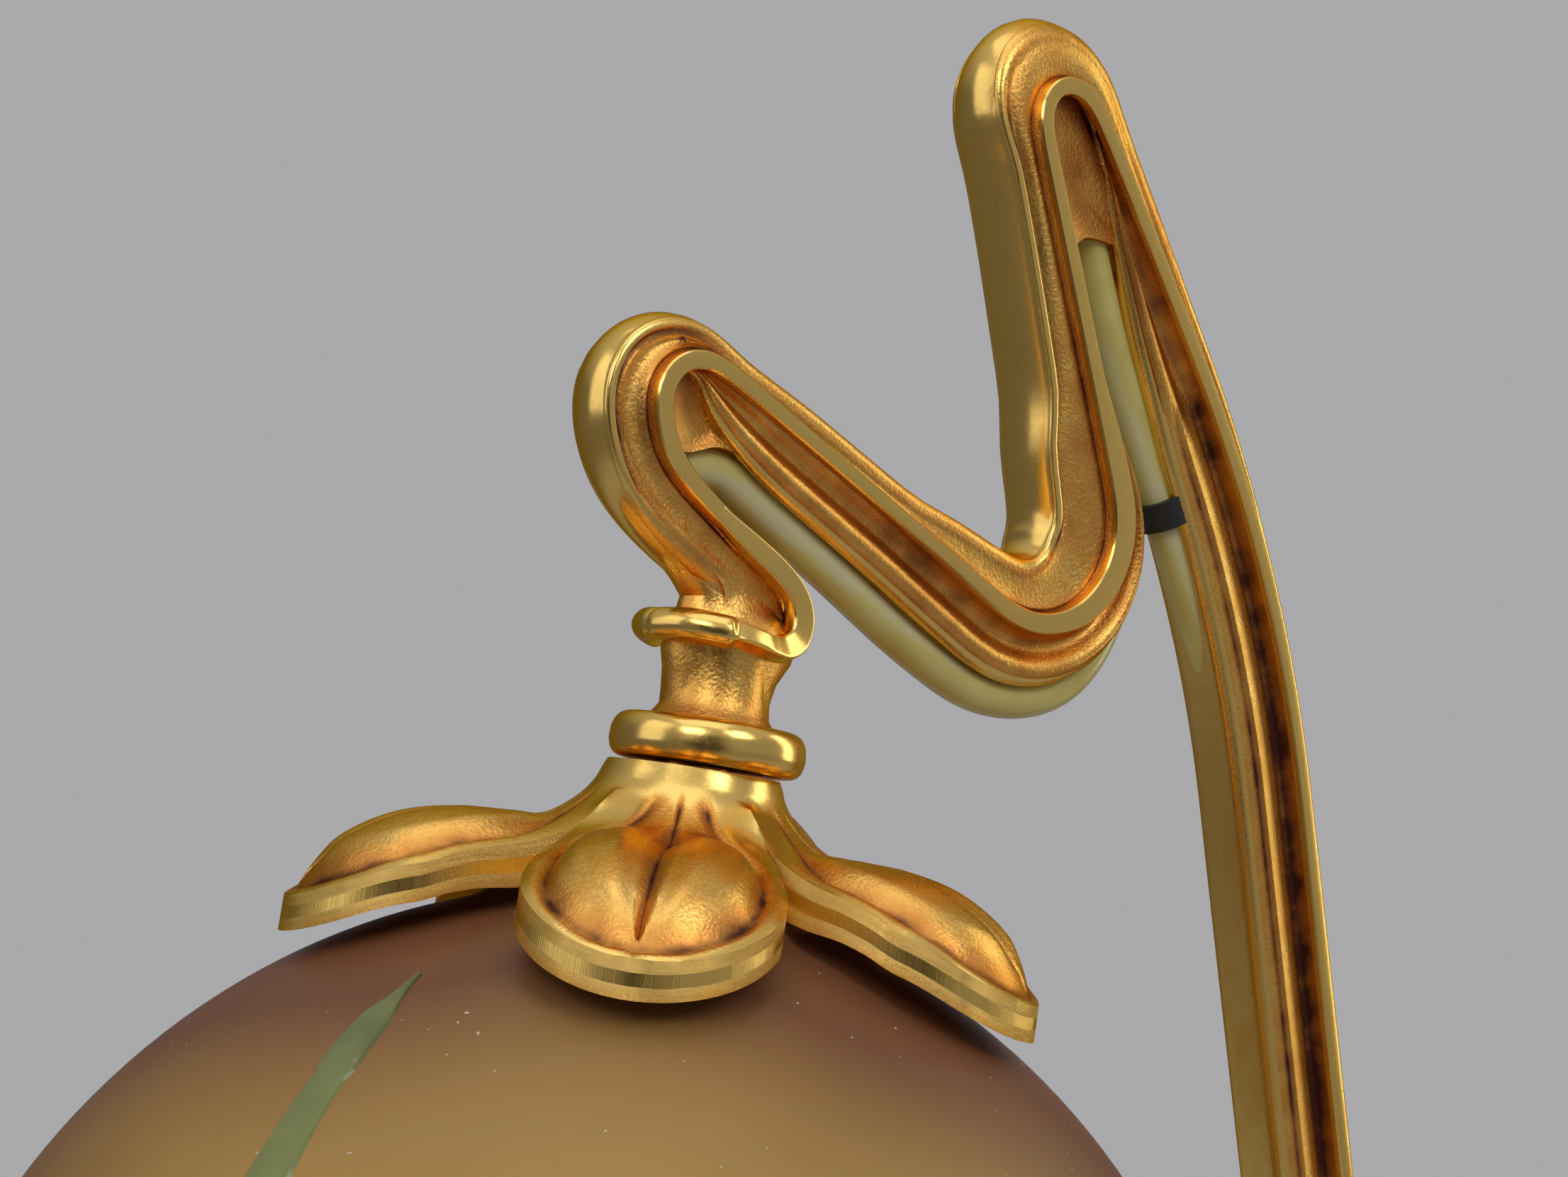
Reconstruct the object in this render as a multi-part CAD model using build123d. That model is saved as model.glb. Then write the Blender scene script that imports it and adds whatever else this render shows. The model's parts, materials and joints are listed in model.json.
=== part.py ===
from build123d import *
import os
from math import atan2, cos, pi, sin, sqrt

# Driving dimensions: millimetres and degrees, x towards the stem, z up from the table

# Where the head hangs: the top of the calyx, and the lean of its axis towards the stem
head_x = -62.0
head_z = 330.0
head_lean = 10.5

# Whip line, the rib line of stem and arm: corners measured from the calyx top, and bends
stem_rise = (64.0, -258.0)
stem_rise_bend = 250.0
stem_bow = (109.4, -105.0)
stem_bow_bend = 200.0
stem_shoulder = (89.2, 23.0)
stem_shoulder_bend = 160.0
hairpin = (37.0, 113.5)
hairpin_bend = 5.0
valley = (68.5, 0.0)
valley_bend = 12.5
hump = (-8.6, 50.0)
hump_bend = 5.0
leg = (-6.5, 33.0)
leg_bend = 10.0
scroll = (14.2, 16.2)
scroll_bend = 6.5
scroll_tip = (10.5, 10.5)

# Section of the whip: u outwards from the rib line, v across it
crown_u = 5.2
arris_u = 4.3
arris_v = 4.2
groove_u = 2.6
groove_v = 3.8
lip_half = 1.2
lip_base_v = 5.2
lip_top_v = 6.2
web_u = 1.9
web_v = 3.6
core_root_u = 1.0
core_v = 4.2
cove_dip = 0.8
core_round = 1.5
stem_core_u = 10.0
stem_core_full = (71.4, 33.0)
stem_core_gone = (66.0, 63.0)
arm_core_u = 7.6
arm_core_start = 46.0
arm_core_stop = 17.0

# Crest of the arm: how far it stands out from the rib line at both ends of each run
crest_start = 22.0
crest_end = 4.5
crest_stem_u = (5.1, 6.3)
crest_limb_u = (5.0, 9.4)
crest_arm_u = (5.6, 5.2)
crest_leg_u = 7.4
crest_top_bend = 10.8
crest_valley_bend = 3.6
crest_hump_bend = 10.0
crest_half = 4.5
crest_round = 1.2

# Flexible lead, held by the arm all the way
flex_d = 5.0
flex_play = 0.35
flex_hole = (93.1, -10.2)
flex_hole_bend = 60.0
flex_rise = (67.5, 43.0)
flex_rise_bend = 25.0
flex_crest_near = (56.6, 66.5)
flex_crest_far = (48.9, 64.1)
flex_crest_bend = 3.8
flex_valley = (107.5, -36.5)
flex_valley_bend = 21.0
flex_crook = (-1.0, 33.1)
flex_inside = (-5.0, 28.0)
flex_crook_bend = 3.2
flex_neck = (4.0, 21.6)
flex_neck_bend = 6.0
grommet_at = 45.2
grommet_length = 3.6
grommet_wall = 0.9
grommet_play = 0.1

# Neck and ring, turned about the head axis
parting = 0.3
ring_r = 10.9
ring_h = 5.2
ring_round = 1.8
neck_r = 6.0
neck_flare = 0.6
neck_waist_r = 5.6
neck_top = 15.5
neck_dome = 3.0
collar_z = 14.2
collar_r = 7.2
collar_bead_r = 1.8
collar_bud_r = 2.2
collar_start = 150.0
collar_sweep = 215.0

# Threaded nipple through the head
nipple_r = 4.0
nipple_bore_r = 3.0
nipple_top = 9.5
nipple_foot = 36.0
thread_fit = 0.03
swivel_fit = 0.08

# Calyx: a flared cap with drooping petals
petal_count = 5
front_petal = 231.0
calyx_top_r = 9.7
calyx_flare = (12.6, 4.8)
calyx_saddle = (21.0, 8.5)
petal_crown = (34.0, 11.8)
petal_tip = (41.4, 20.0)
petal_thick = 4.4
petal_crown_undercut = 0.25
petal_tip_undercut = (0.7, 0.4)
calyx_hub_r = 13.5
calyx_hub_h = 9.0
petal_root_half = 6.6
petal_root_r = 14.0
petal_belly_half = 12.9
petal_belly_r = 30.0
petal_shoulder_share = 0.9
petal_cheek_share = 0.64
petal_cheek_out = 2.6

# Glass shade: a bud open below, with a short neck
shade_r = 70.5
shade_shoulder = 16.4
shade_drop = 55.0
shade_tuck = 13.0
shade_wall = 3.2
shade_neck_r = 20.0
shade_neck_top = 13.2
shade_rim_round = 1.4
rim_share = 0.45

# Carrier under the calyx that holds the shade
carrier_sleeve_r = 15.5
carrier_wall = 2.0
carrier_rib_count = 36
carrier_rib_depth = 0.6
carrier_flange_r = 29.0
carrier_flange_t = 1.6
pad_t = 0.8
pad_seat = 0.05
carrier_nut_r = 8.5
carrier_nut_h = 4.5

# Lampholder with a turn key, on the end of the nipple
holder_top = 28.0
holder_boss_r = 7.0
holder_r = 14.5
holder_wall = 1.4
holder_cap_h = 14.0
holder_shell_h = 32.0
holder_mouth_r = 9.2
insulator_gap = 0.3
insulator_h = 17.0
flex_entry_h = 6.0
contact_r = 3.0
contact_t = 1.5
socket_r = 7.9
socket_wall = 0.75
socket_h = 17.0
key_drop = 52.0
key_shaft_r = 2.0
key_fit = 0.05
key_inner = 6.0
key_neck = 19.0
key_reach = 32.0
key_width = 13.0
key_thick = 3.0
key_round = 1.4
key_flare = 4.0

# Bulb in the lampholder
bulb_cap_r = 6.9
bulb_cap_h = 20.0
bulb_cap_land = 1.0
bulb_tip_r = 2.2
bulb_tip_h = 1.0
bulb_r = 22.5
bulb_neck_r = 7.6
bulb_neck_h = 5.0
bulb_wall = 0.8
filament_stem_r = 2.4
filament_stem_h = 14.0
filament_wire_r = 0.35
filament_loop_r = 7.0

# Foot, its cover, ballast and what fastens the stem
foot_r = 78.0
foot_h = 38.0
foot_rim_h = 9.0
foot_lift = 0.6
foot_shoulder_r = 62.0
foot_shoulder_z = 18.5
foot_top_r = 16.0
foot_sweep_r = 31.0
foot_sweep_z = 23.5
foot_ledge = 8.0
foot_wall = 6.0
foot_roof = 8.0
foot_well_r = 15.0
leaf_count = 5
leaf_rise = 1.8
leaf_half = 15.0
leaf_root_r = 22.0
leaf_tip_r = 66.0
leaf_root_share = 0.75
leaf_cheek_share = 0.7
cover_t = 2.0
cover_gap = 0.4
felt_t = 2.0
felt_inset = 3.0
cover_screw_count = 3
cover_screw_r = 1.5
cover_screw_head_r = 3.0
cover_screw_head_h = 1.6
cover_screw_length = 7.0
cover_screw_spare = 1.0
ballast_inner_r = 24.0
ballast_gap = 0.5
ballast_outer_r = 50.0
ballast_outer_h = 8.0
ballast_inner_h = 11.0
tenon_r = 7.0
tenon_fit = 0.1
tenon_drop = 17.0
stem_root_r = 15.0
stem_root_h = 24.0
stem_root_top_r = 6.2
washer_r = 12.5
washer_t = 1.5
stem_nut_flat = 20.0
stem_nut_h = 6.0
outlet_gap = 1.0
outlet_bore_r = 3.4
outlet_bush_r = 4.6
outlet_flange_r = 6.2
outlet_flange_t = 1.6
outlet_inset = 2.4
block_size = (22.0, 13.0, 9.0)
block_screw_r = 1.6
block_screw_h = 1.0
block_screw_pitch = (14.0, 6.5)
block_screw_rows = (2, 2)

# Worked-out values
head = Location((head_x, 0, head_z), (0, head_lean, 0))
flex_r = flex_d / 2
flex_way_r = flex_r + flex_play
cover_z = felt_t
ledge_z = felt_t + cover_t
roof_z = foot_h - foot_roof
cover_r = foot_r - foot_wall
ledge_r = cover_r - foot_ledge
outlet_seat_r = foot_r - outlet_inset
shade_waist = shade_shoulder + sqrt(shade_r**2 - shade_neck_r**2)
shade_mouth_r = shade_r - shade_tuck
washer_z = roof_z - washer_t
stem_nut_z = washer_z - stem_nut_h
block_top = ledge_z + block_size[2]
outlet_z = ledge_z + outlet_bush_r + outlet_gap
holder_seam = holder_top + holder_cap_h
insulator_foot = holder_seam + insulator_gap + insulator_h
bulb_top = insulator_foot + contact_t + bulb_tip_h
bulb_seat = bulb_top + bulb_cap_h
bulb_centre = bulb_seat + bulb_neck_h + sqrt(bulb_r**2 - bulb_neck_r**2)

parts = {}


def from_head(spot):
    """A point of the arm's plane, measured from the calyx top."""
    x, z = tuple(spot)[:2]
    return Vector(head_x + x, 0, head_z + z)


def on_axis(down):
    """A point of the head axis, measured down from the calyx top."""
    return (head * Location((0, 0, -down))).position


def turned(*edges):
    """Solid turned about the Z axis from a closed outline in the XZ plane."""
    return revolve(make_face(edges), Axis.Z)


def turned_polygon(*spots):
    """Solid turned about the Z axis from the corners of its half section."""
    return turned(Polyline(*[(r, 0, z) for r, z in spots], close=True))


def tube(outer_r, inner_r, bottom, height):
    """Upright tube about the Z axis."""
    ring = Circle(outer_r) - Circle(inner_r)
    return extrude(Pos(0, 0, bottom) * ring, height)


def rod(radius, bottom, height):
    """Upright rod about the Z axis."""
    return extrude(Pos(0, 0, bottom) * Circle(radius), height)


def section_plane(line):
    """Plane across a line of the arm at its start: x points to the outer side, y across."""
    along = line % 0
    return Plane(line @ 0, x_dir=(along.Z, 0, -along.X), z_dir=along)


def swept(outline, line):
    """Outline carried along a line that lies in the arm's plane."""
    return sweep(section_plane(line) * outline, path=line)


def both_sides(*half):
    """Closed face of an outline given for one side, with the other side mirrored."""
    other = [mirror(edge, about=Plane.XZ) for edge in half]
    first, last = half[0] @ 0, half[-1] @ 1
    ends = [Line(spot, (spot.X, -spot.Y)) for spot in (first, last) if abs(spot.Y) > 1e-6]
    return make_face([*half, *other, *ends])


def rail_outline():
    """Outer part of the whip: crown, groove and raised lip on both sides."""
    crown_radius = ((crown_u - arris_u) ** 2 + arris_v**2) / (2 * (crown_u - arris_u))
    half_rise = sqrt(crown_radius**2 - (arris_v / 2) ** 2) - crown_radius + crown_u
    return both_sides(
        ThreePointArc((crown_u, 0), (half_rise, arris_v / 2), (arris_u, arris_v)),
        ThreePointArc((arris_u, arris_v), (groove_u, groove_v), (lip_half, lip_base_v)),
        ThreePointArc((lip_half, lip_base_v), (0, lip_top_v), (-lip_half, lip_base_v)),
        Line((-lip_half, lip_base_v), (-web_u, web_v)),
    )


def core_outline(depth):
    """Inner part of the whip: a cove on both sides and a rounded inner edge."""
    cove_end = -(depth - core_round)
    cove_mid = (cove_end - web_u) / 2
    bevel = core_round * (1 - cos(pi / 4))
    return both_sides(
        Line((core_root_u, core_v), (-web_u, core_v)),
        ThreePointArc((-web_u, core_v), (cove_mid, core_v - cove_dip), (cove_end, core_v)),
        ThreePointArc(
            (cove_end, core_v),
            (-depth + bevel, core_v - bevel),
            (-depth, core_v - core_round),
        ),
    )


def toward(start, goal, distance):
    """Point a distance from the first spot on the way to the second."""
    way = Vector(*goal) - Vector(*start)
    spot = Vector(*start) + way.normalized() * distance
    return (spot.X, spot.Y)


def moved_out(start, end, first, last):
    """Both ends of a run of the rib line, each moved its own distance to the outer side."""
    way = (Vector(*end) - Vector(*start)).normalized()
    across = Vector(way.Y, -way.X)
    return Vector(*start) + across * first, Vector(*end) + across * last


def meeting(first, second):
    """Where the straight lines through two runs cross."""
    (a, b), (c, d) = first, second
    one, two = b - a, d - c
    share = ((c - a).X * two.Y - (c - a).Y * two.X) / (one.X * two.Y - one.Y * two.X)
    return a + one * share


# Whip lines: the whole rib line, the stem's core and the arm's core
foot_spot = (-head_x, foot_h - head_z)
stem_corners = [stem_rise, stem_bow, stem_shoulder]
stem_bends = [stem_rise_bend, stem_bow_bend, stem_shoulder_bend]
rail_corners = [foot_spot, *stem_corners, hairpin, valley, hump, leg, scroll, scroll_tip]
rail_bends = [*stem_bends, hairpin_bend, valley_bend, hump_bend, leg_bend, scroll_bend]
rail_line = FilletPolyline(*map(from_head, rail_corners), radius=rail_bends)
stem_line = FilletPolyline(
    *map(from_head, [foot_spot, *stem_corners, stem_core_gone]), radius=stem_bends
)
arm_start = toward(valley, hairpin, arm_core_start)
arm_end = toward(hump, valley, arm_core_stop)
arm_line = FilletPolyline(*map(from_head, [arm_start, valley, arm_end]), radius=[valley_bend])

# Outline of the arm's crest: the rib line, and its runs moved out to the crest's height
crest_foot = toward(stem_shoulder, hairpin, crest_start)
crest_tail = toward(leg, hump, crest_end)
crest_runs = [
    moved_out(crest_foot, hairpin, *crest_stem_u),
    moved_out(hairpin, valley, *crest_limb_u),
    moved_out(valley, hump, *crest_arm_u),
    moved_out(hump, crest_tail, crest_leg_u, crown_u),
]
crest_corners = [meeting(*runs) for runs in zip(crest_runs, crest_runs[1:])]
crest_line = FilletPolyline(
    *map(from_head, [crest_runs[0][0], *crest_corners, crest_runs[-1][1]]),
    radius=[crest_top_bend, crest_valley_bend, crest_hump_bend],
)
crest_root = FilletPolyline(
    *map(from_head, [crest_foot, hairpin, valley, hump, crest_tail]),
    radius=[hairpin_bend, valley_bend, hump_bend],
)
crest_ends = [Line(crest_line @ end, crest_root @ end) for end in (0, 1)]

# Route of the lead: up the stem, over the crest, round the valley, through the neck
flex_corners = [
    stem_rise,
    stem_bow,
    flex_hole,
    flex_rise,
    flex_crest_near,
    flex_crest_far,
    flex_valley,
    flex_crook,
    flex_inside,
    flex_neck,
]
flex_bends = [
    stem_rise_bend,
    stem_bow_bend,
    flex_hole_bend,
    flex_rise_bend,
    flex_crest_bend,
    flex_crest_bend,
    flex_valley_bend,
    flex_crook_bend,
    flex_crook_bend,
    flex_neck_bend,
]
flex_start = Vector(0, 0, block_top + flex_play)
flex_end = on_axis(holder_seam + insulator_gap + flex_entry_h)
flex_line = FilletPolyline(
    flex_start, *map(from_head, flex_corners), flex_end, radius=flex_bends
)
flex_plane = Plane(flex_start, z_dir=flex_line % 0)
arm_flex = sweep(flex_plane * Circle(flex_r), path=flex_line)
flex_way = [
    sweep(Plane(run @ 0, z_dir=run % 0) * Circle(flex_way_r), path=run)
    for run in flex_line.edges()
]
parts["arm_flex"] = arm_flex

# Stem and arm in one casting: whip, root on the foot, neck, ring and scroll collar
neck = turned(
    Polyline(
        (0, 0, neck_top + neck_dome),
        (0, 0, parting),
        (ring_r - ring_round, 0, parting),
    ),
    TangentArc(
        (ring_r - ring_round, 0, parting),
        (ring_r, 0, parting + ring_h / 2),
        tangent=(1, 0, 0),
    ),
    TangentArc(
        (ring_r, 0, parting + ring_h / 2),
        (ring_r - ring_round, 0, parting + ring_h),
        tangent=(0, 0, 1),
    ),
    Line((ring_r - ring_round, 0, parting + ring_h), (neck_r + neck_flare, 0, parting + ring_h)),
    ThreePointArc(
        (neck_r + neck_flare, 0, parting + ring_h),
        (neck_waist_r, 0, (ring_h + neck_top) / 2),
        (neck_r, 0, neck_top),
    ),
    TangentArc((neck_r, 0, neck_top), (0, 0, neck_top + neck_dome), tangent=(0, 0, 1)),
)
collar_section = Plane.XZ * Pos(collar_r, collar_z) * Circle(collar_bead_r)
collar = Rot(0, 0, collar_start) * revolve(collar_section, Axis.Z, collar_sweep)
for turn in (collar_start, collar_start + collar_sweep):
    collar += Rot(0, 0, turn) * Pos(collar_r, 0, collar_z) * Sphere(collar_bud_r)
stem_root = turned(
    Polyline(
        (0, 0, foot_h + stem_root_h),
        (0, 0, foot_h - tenon_drop),
        (tenon_r, 0, foot_h - tenon_drop),
        (tenon_r, 0, foot_h),
        (stem_root_r, 0, foot_h),
    ),
    TangentArc(
        (stem_root_top_r, 0, foot_h + stem_root_h),
        (stem_root_r, 0, foot_h),
        tangent=(0, 0, -1),
    ),
    Line((0, 0, foot_h + stem_root_h), (stem_root_top_r, 0, foot_h + stem_root_h)),
)
stem_core = swept(core_outline(stem_core_u), stem_line)
full, gone = from_head(stem_core_full), from_head(stem_core_gone)
taper = make_face(Polyline(gone, full, full - Vector(head_z), gone - Vector(head_z), close=True))
stem_core -= extrude(taper, lip_top_v, both=True)
crest = extrude(make_face([crest_line, crest_root, *crest_ends]), crest_half, both=True)
crest_sides = crest.faces().sort_by(Axis.Y)
crest = fillet(crest_sides[0].edges() + crest_sides[-1].edges(), crest_round)
whip_stem = swept(rail_outline(), rail_line)
whip_stem += [stem_core, swept(core_outline(arm_core_u), arm_line), crest]
whip_stem += [stem_root, head * neck, head * collar]
whip_stem -= flex_way
whip_stem -= head * rod(nipple_r + thread_fit, 0, nipple_top + parting)
grommet_spot = from_head(toward(flex_hole, flex_rise, grommet_at - grommet_length / 2))
grommet_plane = Plane(grommet_spot, z_dir=from_head(flex_rise) - from_head(flex_hole))
grommet_face = grommet_plane * Circle(flex_way_r + grommet_wall)
grommet_seat = extrude(grommet_face, grommet_length)
whip_stem -= grommet_seat
parts["whip_stem"] = whip_stem
grommet_bore = grommet_plane * Circle(flex_r + grommet_play)
parts["flex_grommet"] = grommet_seat - extrude(grommet_bore, grommet_length)

# Nipple and the nut that keeps the carrier up
parts["neck_nipple"] = head * tube(
    nipple_r, nipple_bore_r, -nipple_foot, nipple_foot + nipple_top
)
carrier_top = calyx_hub_h
nut_top = carrier_top + carrier_wall + parting
carrier_nut = extrude(
    Pos(0, 0, -nut_top - carrier_nut_h) * RegularPolygon(carrier_nut_r, 6), carrier_nut_h
)
carrier_nut -= rod(nipple_r + thread_fit, -nut_top - carrier_nut_h, carrier_nut_h)
parts["carrier_nut"] = head * carrier_nut


def calyx_band():
    """Solid between the upper and lower faces of the calyx, before its petals are cut."""
    lower_saddle = (calyx_saddle[0], calyx_saddle[1] + petal_thick)
    crown_in = petal_thick * petal_crown_undercut
    tip_in, tip_drop = [petal_thick * share for share in petal_tip_undercut]
    lower_crown = (petal_crown[0] - crown_in, petal_crown[1] + petal_thick)
    lower_tip = (petal_tip[0] - tip_in, petal_tip[1] + tip_drop)

    def spot(point):
        return (point[0], 0, -point[1])

    return turned(
        Line((0, 0, 0), (calyx_top_r, 0, 0)),
        ThreePointArc((calyx_top_r, 0, 0), spot(calyx_flare), spot(calyx_saddle)),
        ThreePointArc(spot(calyx_saddle), spot(petal_crown), spot(petal_tip)),
        Line(spot(petal_tip), spot(lower_tip)),
        ThreePointArc(spot(lower_tip), spot(lower_crown), spot(lower_saddle)),
        Polyline(
            spot(lower_saddle),
            (calyx_hub_r + petal_thick, 0, -calyx_hub_h),
            (0, 0, -calyx_hub_h),
            (0, 0, 0),
        ),
    )


def petal_outline():
    """One petal seen from above, pointing along X."""
    shoulder = ((petal_root_r + petal_belly_r) / 2, petal_belly_half * petal_shoulder_share)
    cheek_r = (petal_belly_r + petal_tip[0]) / 2 + petal_cheek_out
    tip_cheek = (cheek_r, petal_belly_half * petal_cheek_share)
    return both_sides(
        Line((0, petal_root_half), (petal_root_r, petal_root_half)),
        ThreePointArc(
            (petal_root_r, petal_root_half), shoulder, (petal_belly_r, petal_belly_half)
        ),
        ThreePointArc((petal_belly_r, petal_belly_half), tip_cheek, (petal_tip[0], 0)),
    )


petal_depth = petal_tip[1] + petal_thick
petals = Circle(calyx_hub_r)
for turn in range(petal_count):
    petals += Rot(0, 0, front_petal + turn * 360 / petal_count) * petal_outline()
calyx = calyx_band() & extrude(Pos(0, 0, -petal_depth) * petals, petal_depth)
calyx -= rod(nipple_r + swivel_fit, -petal_depth, petal_depth)
parts["calyx"] = head * calyx


def shade_face(inset):
    """Edges of a face parallel to the shade's outer one, from its neck down to its mouth."""
    ball = shade_r - inset
    neck = shade_neck_r - inset
    shoulder = shade_waist - sqrt(ball**2 - neck**2)
    belly = (shade_r**2 - shade_mouth_r**2 - shade_drop**2) / (2 * shade_tuck)
    curl = atan2(shade_drop, shade_mouth_r - belly)
    reach = shade_r - belly - inset

    def on_ball(angle):
        return (ball * cos(angle), 0, -shade_waist + ball * sin(angle))

    def below_waist(angle):
        return (belly + reach * cos(angle), 0, -shade_waist - reach * sin(angle))

    start = atan2(shade_waist - shoulder, neck)
    return [
        Line((neck, 0, -shade_neck_top), (neck, 0, -shoulder)),
        ThreePointArc(on_ball(start), on_ball(start / 2), on_ball(0)),
        ThreePointArc(below_waist(0), below_waist(curl / 2), below_waist(curl)),
    ]


# Shade: outer and inner face, a rim across the mouth with rounded edges
outer_face = shade_face(0)
inner_face = shade_face(shade_wall)
shade_glass = turned(
    *outer_face,
    *inner_face,
    Line(outer_face[0] @ 0, inner_face[0] @ 0),
    Line(outer_face[-1] @ 1, inner_face[-1] @ 1),
)
mouth_edges = shade_glass.edges().filter_by(GeomType.CIRCLE).sort_by(Axis.Z)[:2]
shade_glass = fillet(mouth_edges, min(shade_rim_round, shade_wall * rim_share))
parts["shade_glass"] = head * shade_glass


def inside_shade(inset, radius):
    """Depth of a face parallel to the shade's shoulder, at a radius."""
    return shade_waist - sqrt((shade_r - inset) ** 2 - radius**2)


def shoulder_band(top_inset, thickness, inner_r, outer_r):
    """Dished ring parallel to the shade's shoulder."""
    low_inset = top_inset + thickness
    mid_r = (inner_r + outer_r) / 2

    def rim(inset, radius):
        return (radius, 0, -inside_shade(inset, radius))

    top = ThreePointArc(*[rim(top_inset, r) for r in (inner_r, mid_r, outer_r)])
    low = ThreePointArc(*[rim(low_inset, r) for r in (outer_r, mid_r, inner_r)])
    return turned(top, Line(top @ 1, low @ 0), low, Line(low @ 1, top @ 0))


# Carrier: a ribbed sleeve in the shade's neck with a dished flange under its shoulder
sleeve_inner_r = carrier_sleeve_r - carrier_wall
sleeve_foot = inside_shade(shade_wall + pad_t + carrier_flange_t / 2, carrier_sleeve_r)
carrier = tube(carrier_sleeve_r, sleeve_inner_r, -sleeve_foot, sleeve_foot - carrier_top)
for turn in range(carrier_rib_count):
    groove = Pos(carrier_sleeve_r, 0, -sleeve_foot) * Cylinder(
        carrier_rib_depth, sleeve_foot, align=(Align.CENTER, Align.CENTER, Align.MIN)
    )
    carrier -= Rot(0, 0, turn * 360 / carrier_rib_count) * groove
carrier += tube(
    sleeve_inner_r + carrier_wall / 2,
    nipple_r + swivel_fit,
    -carrier_top - carrier_wall,
    carrier_wall,
)
carrier += shoulder_band(
    shade_wall + pad_t, carrier_flange_t, sleeve_inner_r, carrier_flange_r
)
parts["shade_carrier"] = head * carrier
parts["carrier_pad"] = head * shoulder_band(
    shade_wall + pad_seat, pad_t - 2 * pad_seat, shade_neck_r - shade_wall, carrier_flange_r
)

# Lampholder: cap, shell, insulator, socket and centre contact
cap_inner_r = holder_r - holder_wall
parts["holder_cap"] = head * turned(
    Polyline(
        (cap_inner_r, 0, -holder_seam),
        (holder_r, 0, -holder_seam),
        (holder_r, 0, -holder_seam + holder_wall),
    ),
    TangentArc(
        (holder_r, 0, -holder_seam + holder_wall),
        (holder_boss_r, 0, -holder_top - holder_wall),
        tangent=(0, 0, 1),
    ),
    Polyline(
        (holder_boss_r, 0, -holder_top - holder_wall),
        (holder_boss_r, 0, -holder_top),
        (nipple_r + thread_fit, 0, -holder_top),
        (nipple_r + thread_fit, 0, -nipple_foot),
        (holder_boss_r, 0, -nipple_foot),
    ),
    Line((holder_boss_r, 0, -nipple_foot), (cap_inner_r, 0, -holder_seam)),
)
shell_foot = holder_seam + holder_shell_h
key_hole = Plane.XZ.offset(key_inner) * Circle(key_shaft_r + key_fit)
key_way = Pos(0, 0, -key_drop) * extrude(key_hole, holder_r)
holder_shell = tube(holder_r, cap_inner_r, -shell_foot, holder_shell_h)
holder_shell += tube(holder_r, holder_mouth_r, -shell_foot, holder_wall)
parts["holder_shell"] = head * (holder_shell - key_way)
insulator = rod(cap_inner_r - insulator_gap, -insulator_foot, insulator_h)
insulator -= rod(flex_way_r, -insulator_foot + insulator_h - flex_entry_h, flex_entry_h)
parts["holder_insulator"] = head * (insulator - key_way)
parts["centre_contact"] = head * rod(contact_r, -insulator_foot - contact_t, contact_t)
parts["socket_sleeve"] = head * tube(
    socket_r, socket_r - socket_wall, -insulator_foot - socket_h, socket_h
)

# Turn key: a shaft in the insulator with a flat thumb piece outside the shell
key_shaft = extrude(Plane.XZ.offset(key_inner) * Circle(key_shaft_r), key_neck - key_inner)
key_paddle = Plane.XZ.offset(key_neck) * RectangleRounded(key_width, key_thick, key_round)
key_shaft += extrude(key_paddle, key_reach - key_neck, taper=-key_flare)
parts["switch_key"] = head * Pos(0, 0, -key_drop) * key_shaft

# Bulb: tip contact, screw cap, glass envelope and filament on its mount
parts["bulb_tip"] = head * rod(bulb_tip_r, -bulb_top, bulb_tip_h)
parts["bulb_cap"] = head * turned_polygon(
    (0, -bulb_top),
    (bulb_tip_r + bulb_cap_land, -bulb_top),
    (bulb_cap_r, -bulb_top - bulb_tip_r),
    (bulb_cap_r, -bulb_seat),
    (0, -bulb_seat),
)


def bulb_body(inset, top):
    """Solid inside the bulb's face, drawn in by a wall's thickness."""
    neck = bulb_neck_r - inset
    ball = bulb_r - inset
    meet = bulb_centre - sqrt(ball**2 - neck**2)
    return turned(
        Polyline((0, 0, -top), (neck, 0, -top), (neck, 0, -meet)),
        ThreePointArc(
            (neck, 0, -meet), (ball, 0, -bulb_centre), (0, 0, -bulb_centre - ball)
        ),
        Line((0, 0, -bulb_centre - ball), (0, 0, -top)),
    )


parts["bulb_glass"] = head * (bulb_body(0, bulb_seat) - bulb_body(bulb_wall, bulb_seat))
mount_foot = bulb_seat + filament_stem_h
filament = rod(filament_stem_r, -mount_foot, filament_stem_h)
loop_z = -bulb_centre
loop = FilletPolyline(
    (-filament_stem_r / 2, 0, -mount_foot + filament_wire_r),
    (-filament_loop_r, 0, loop_z + filament_loop_r / 2),
    (-filament_loop_r / 2, 0, loop_z - filament_loop_r),
    (0, 0, loop_z),
    (filament_loop_r / 2, 0, loop_z - filament_loop_r),
    (filament_loop_r, 0, loop_z + filament_loop_r / 2),
    (filament_stem_r / 2, 0, -mount_foot + filament_wire_r),
    radius=filament_wire_r * 3,
)
filament += sweep(Plane(loop @ 0, z_dir=loop % 0) * Circle(filament_wire_r), path=loop)
parts["bulb_filament"] = head * filament


def foot_band(lift):
    """Solid under the foot's upper face, raised by a lift."""
    top = foot_h + lift
    return turned(
        Polyline(
            (foot_top_r, 0, top),
            (0, 0, top),
            (0, 0, foot_lift),
            (foot_r + lift, 0, foot_lift),
            (foot_r + lift, 0, foot_rim_h),
        ),
        TangentArc(
            (foot_r + lift, 0, foot_rim_h),
            (foot_shoulder_r, 0, foot_shoulder_z + lift),
            tangent=(0, 0, 1),
        ),
        ThreePointArc(
            (foot_shoulder_r, 0, foot_shoulder_z + lift),
            (foot_sweep_r, 0, foot_sweep_z + lift),
            (foot_top_r, 0, top),
        ),
    )


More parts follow.
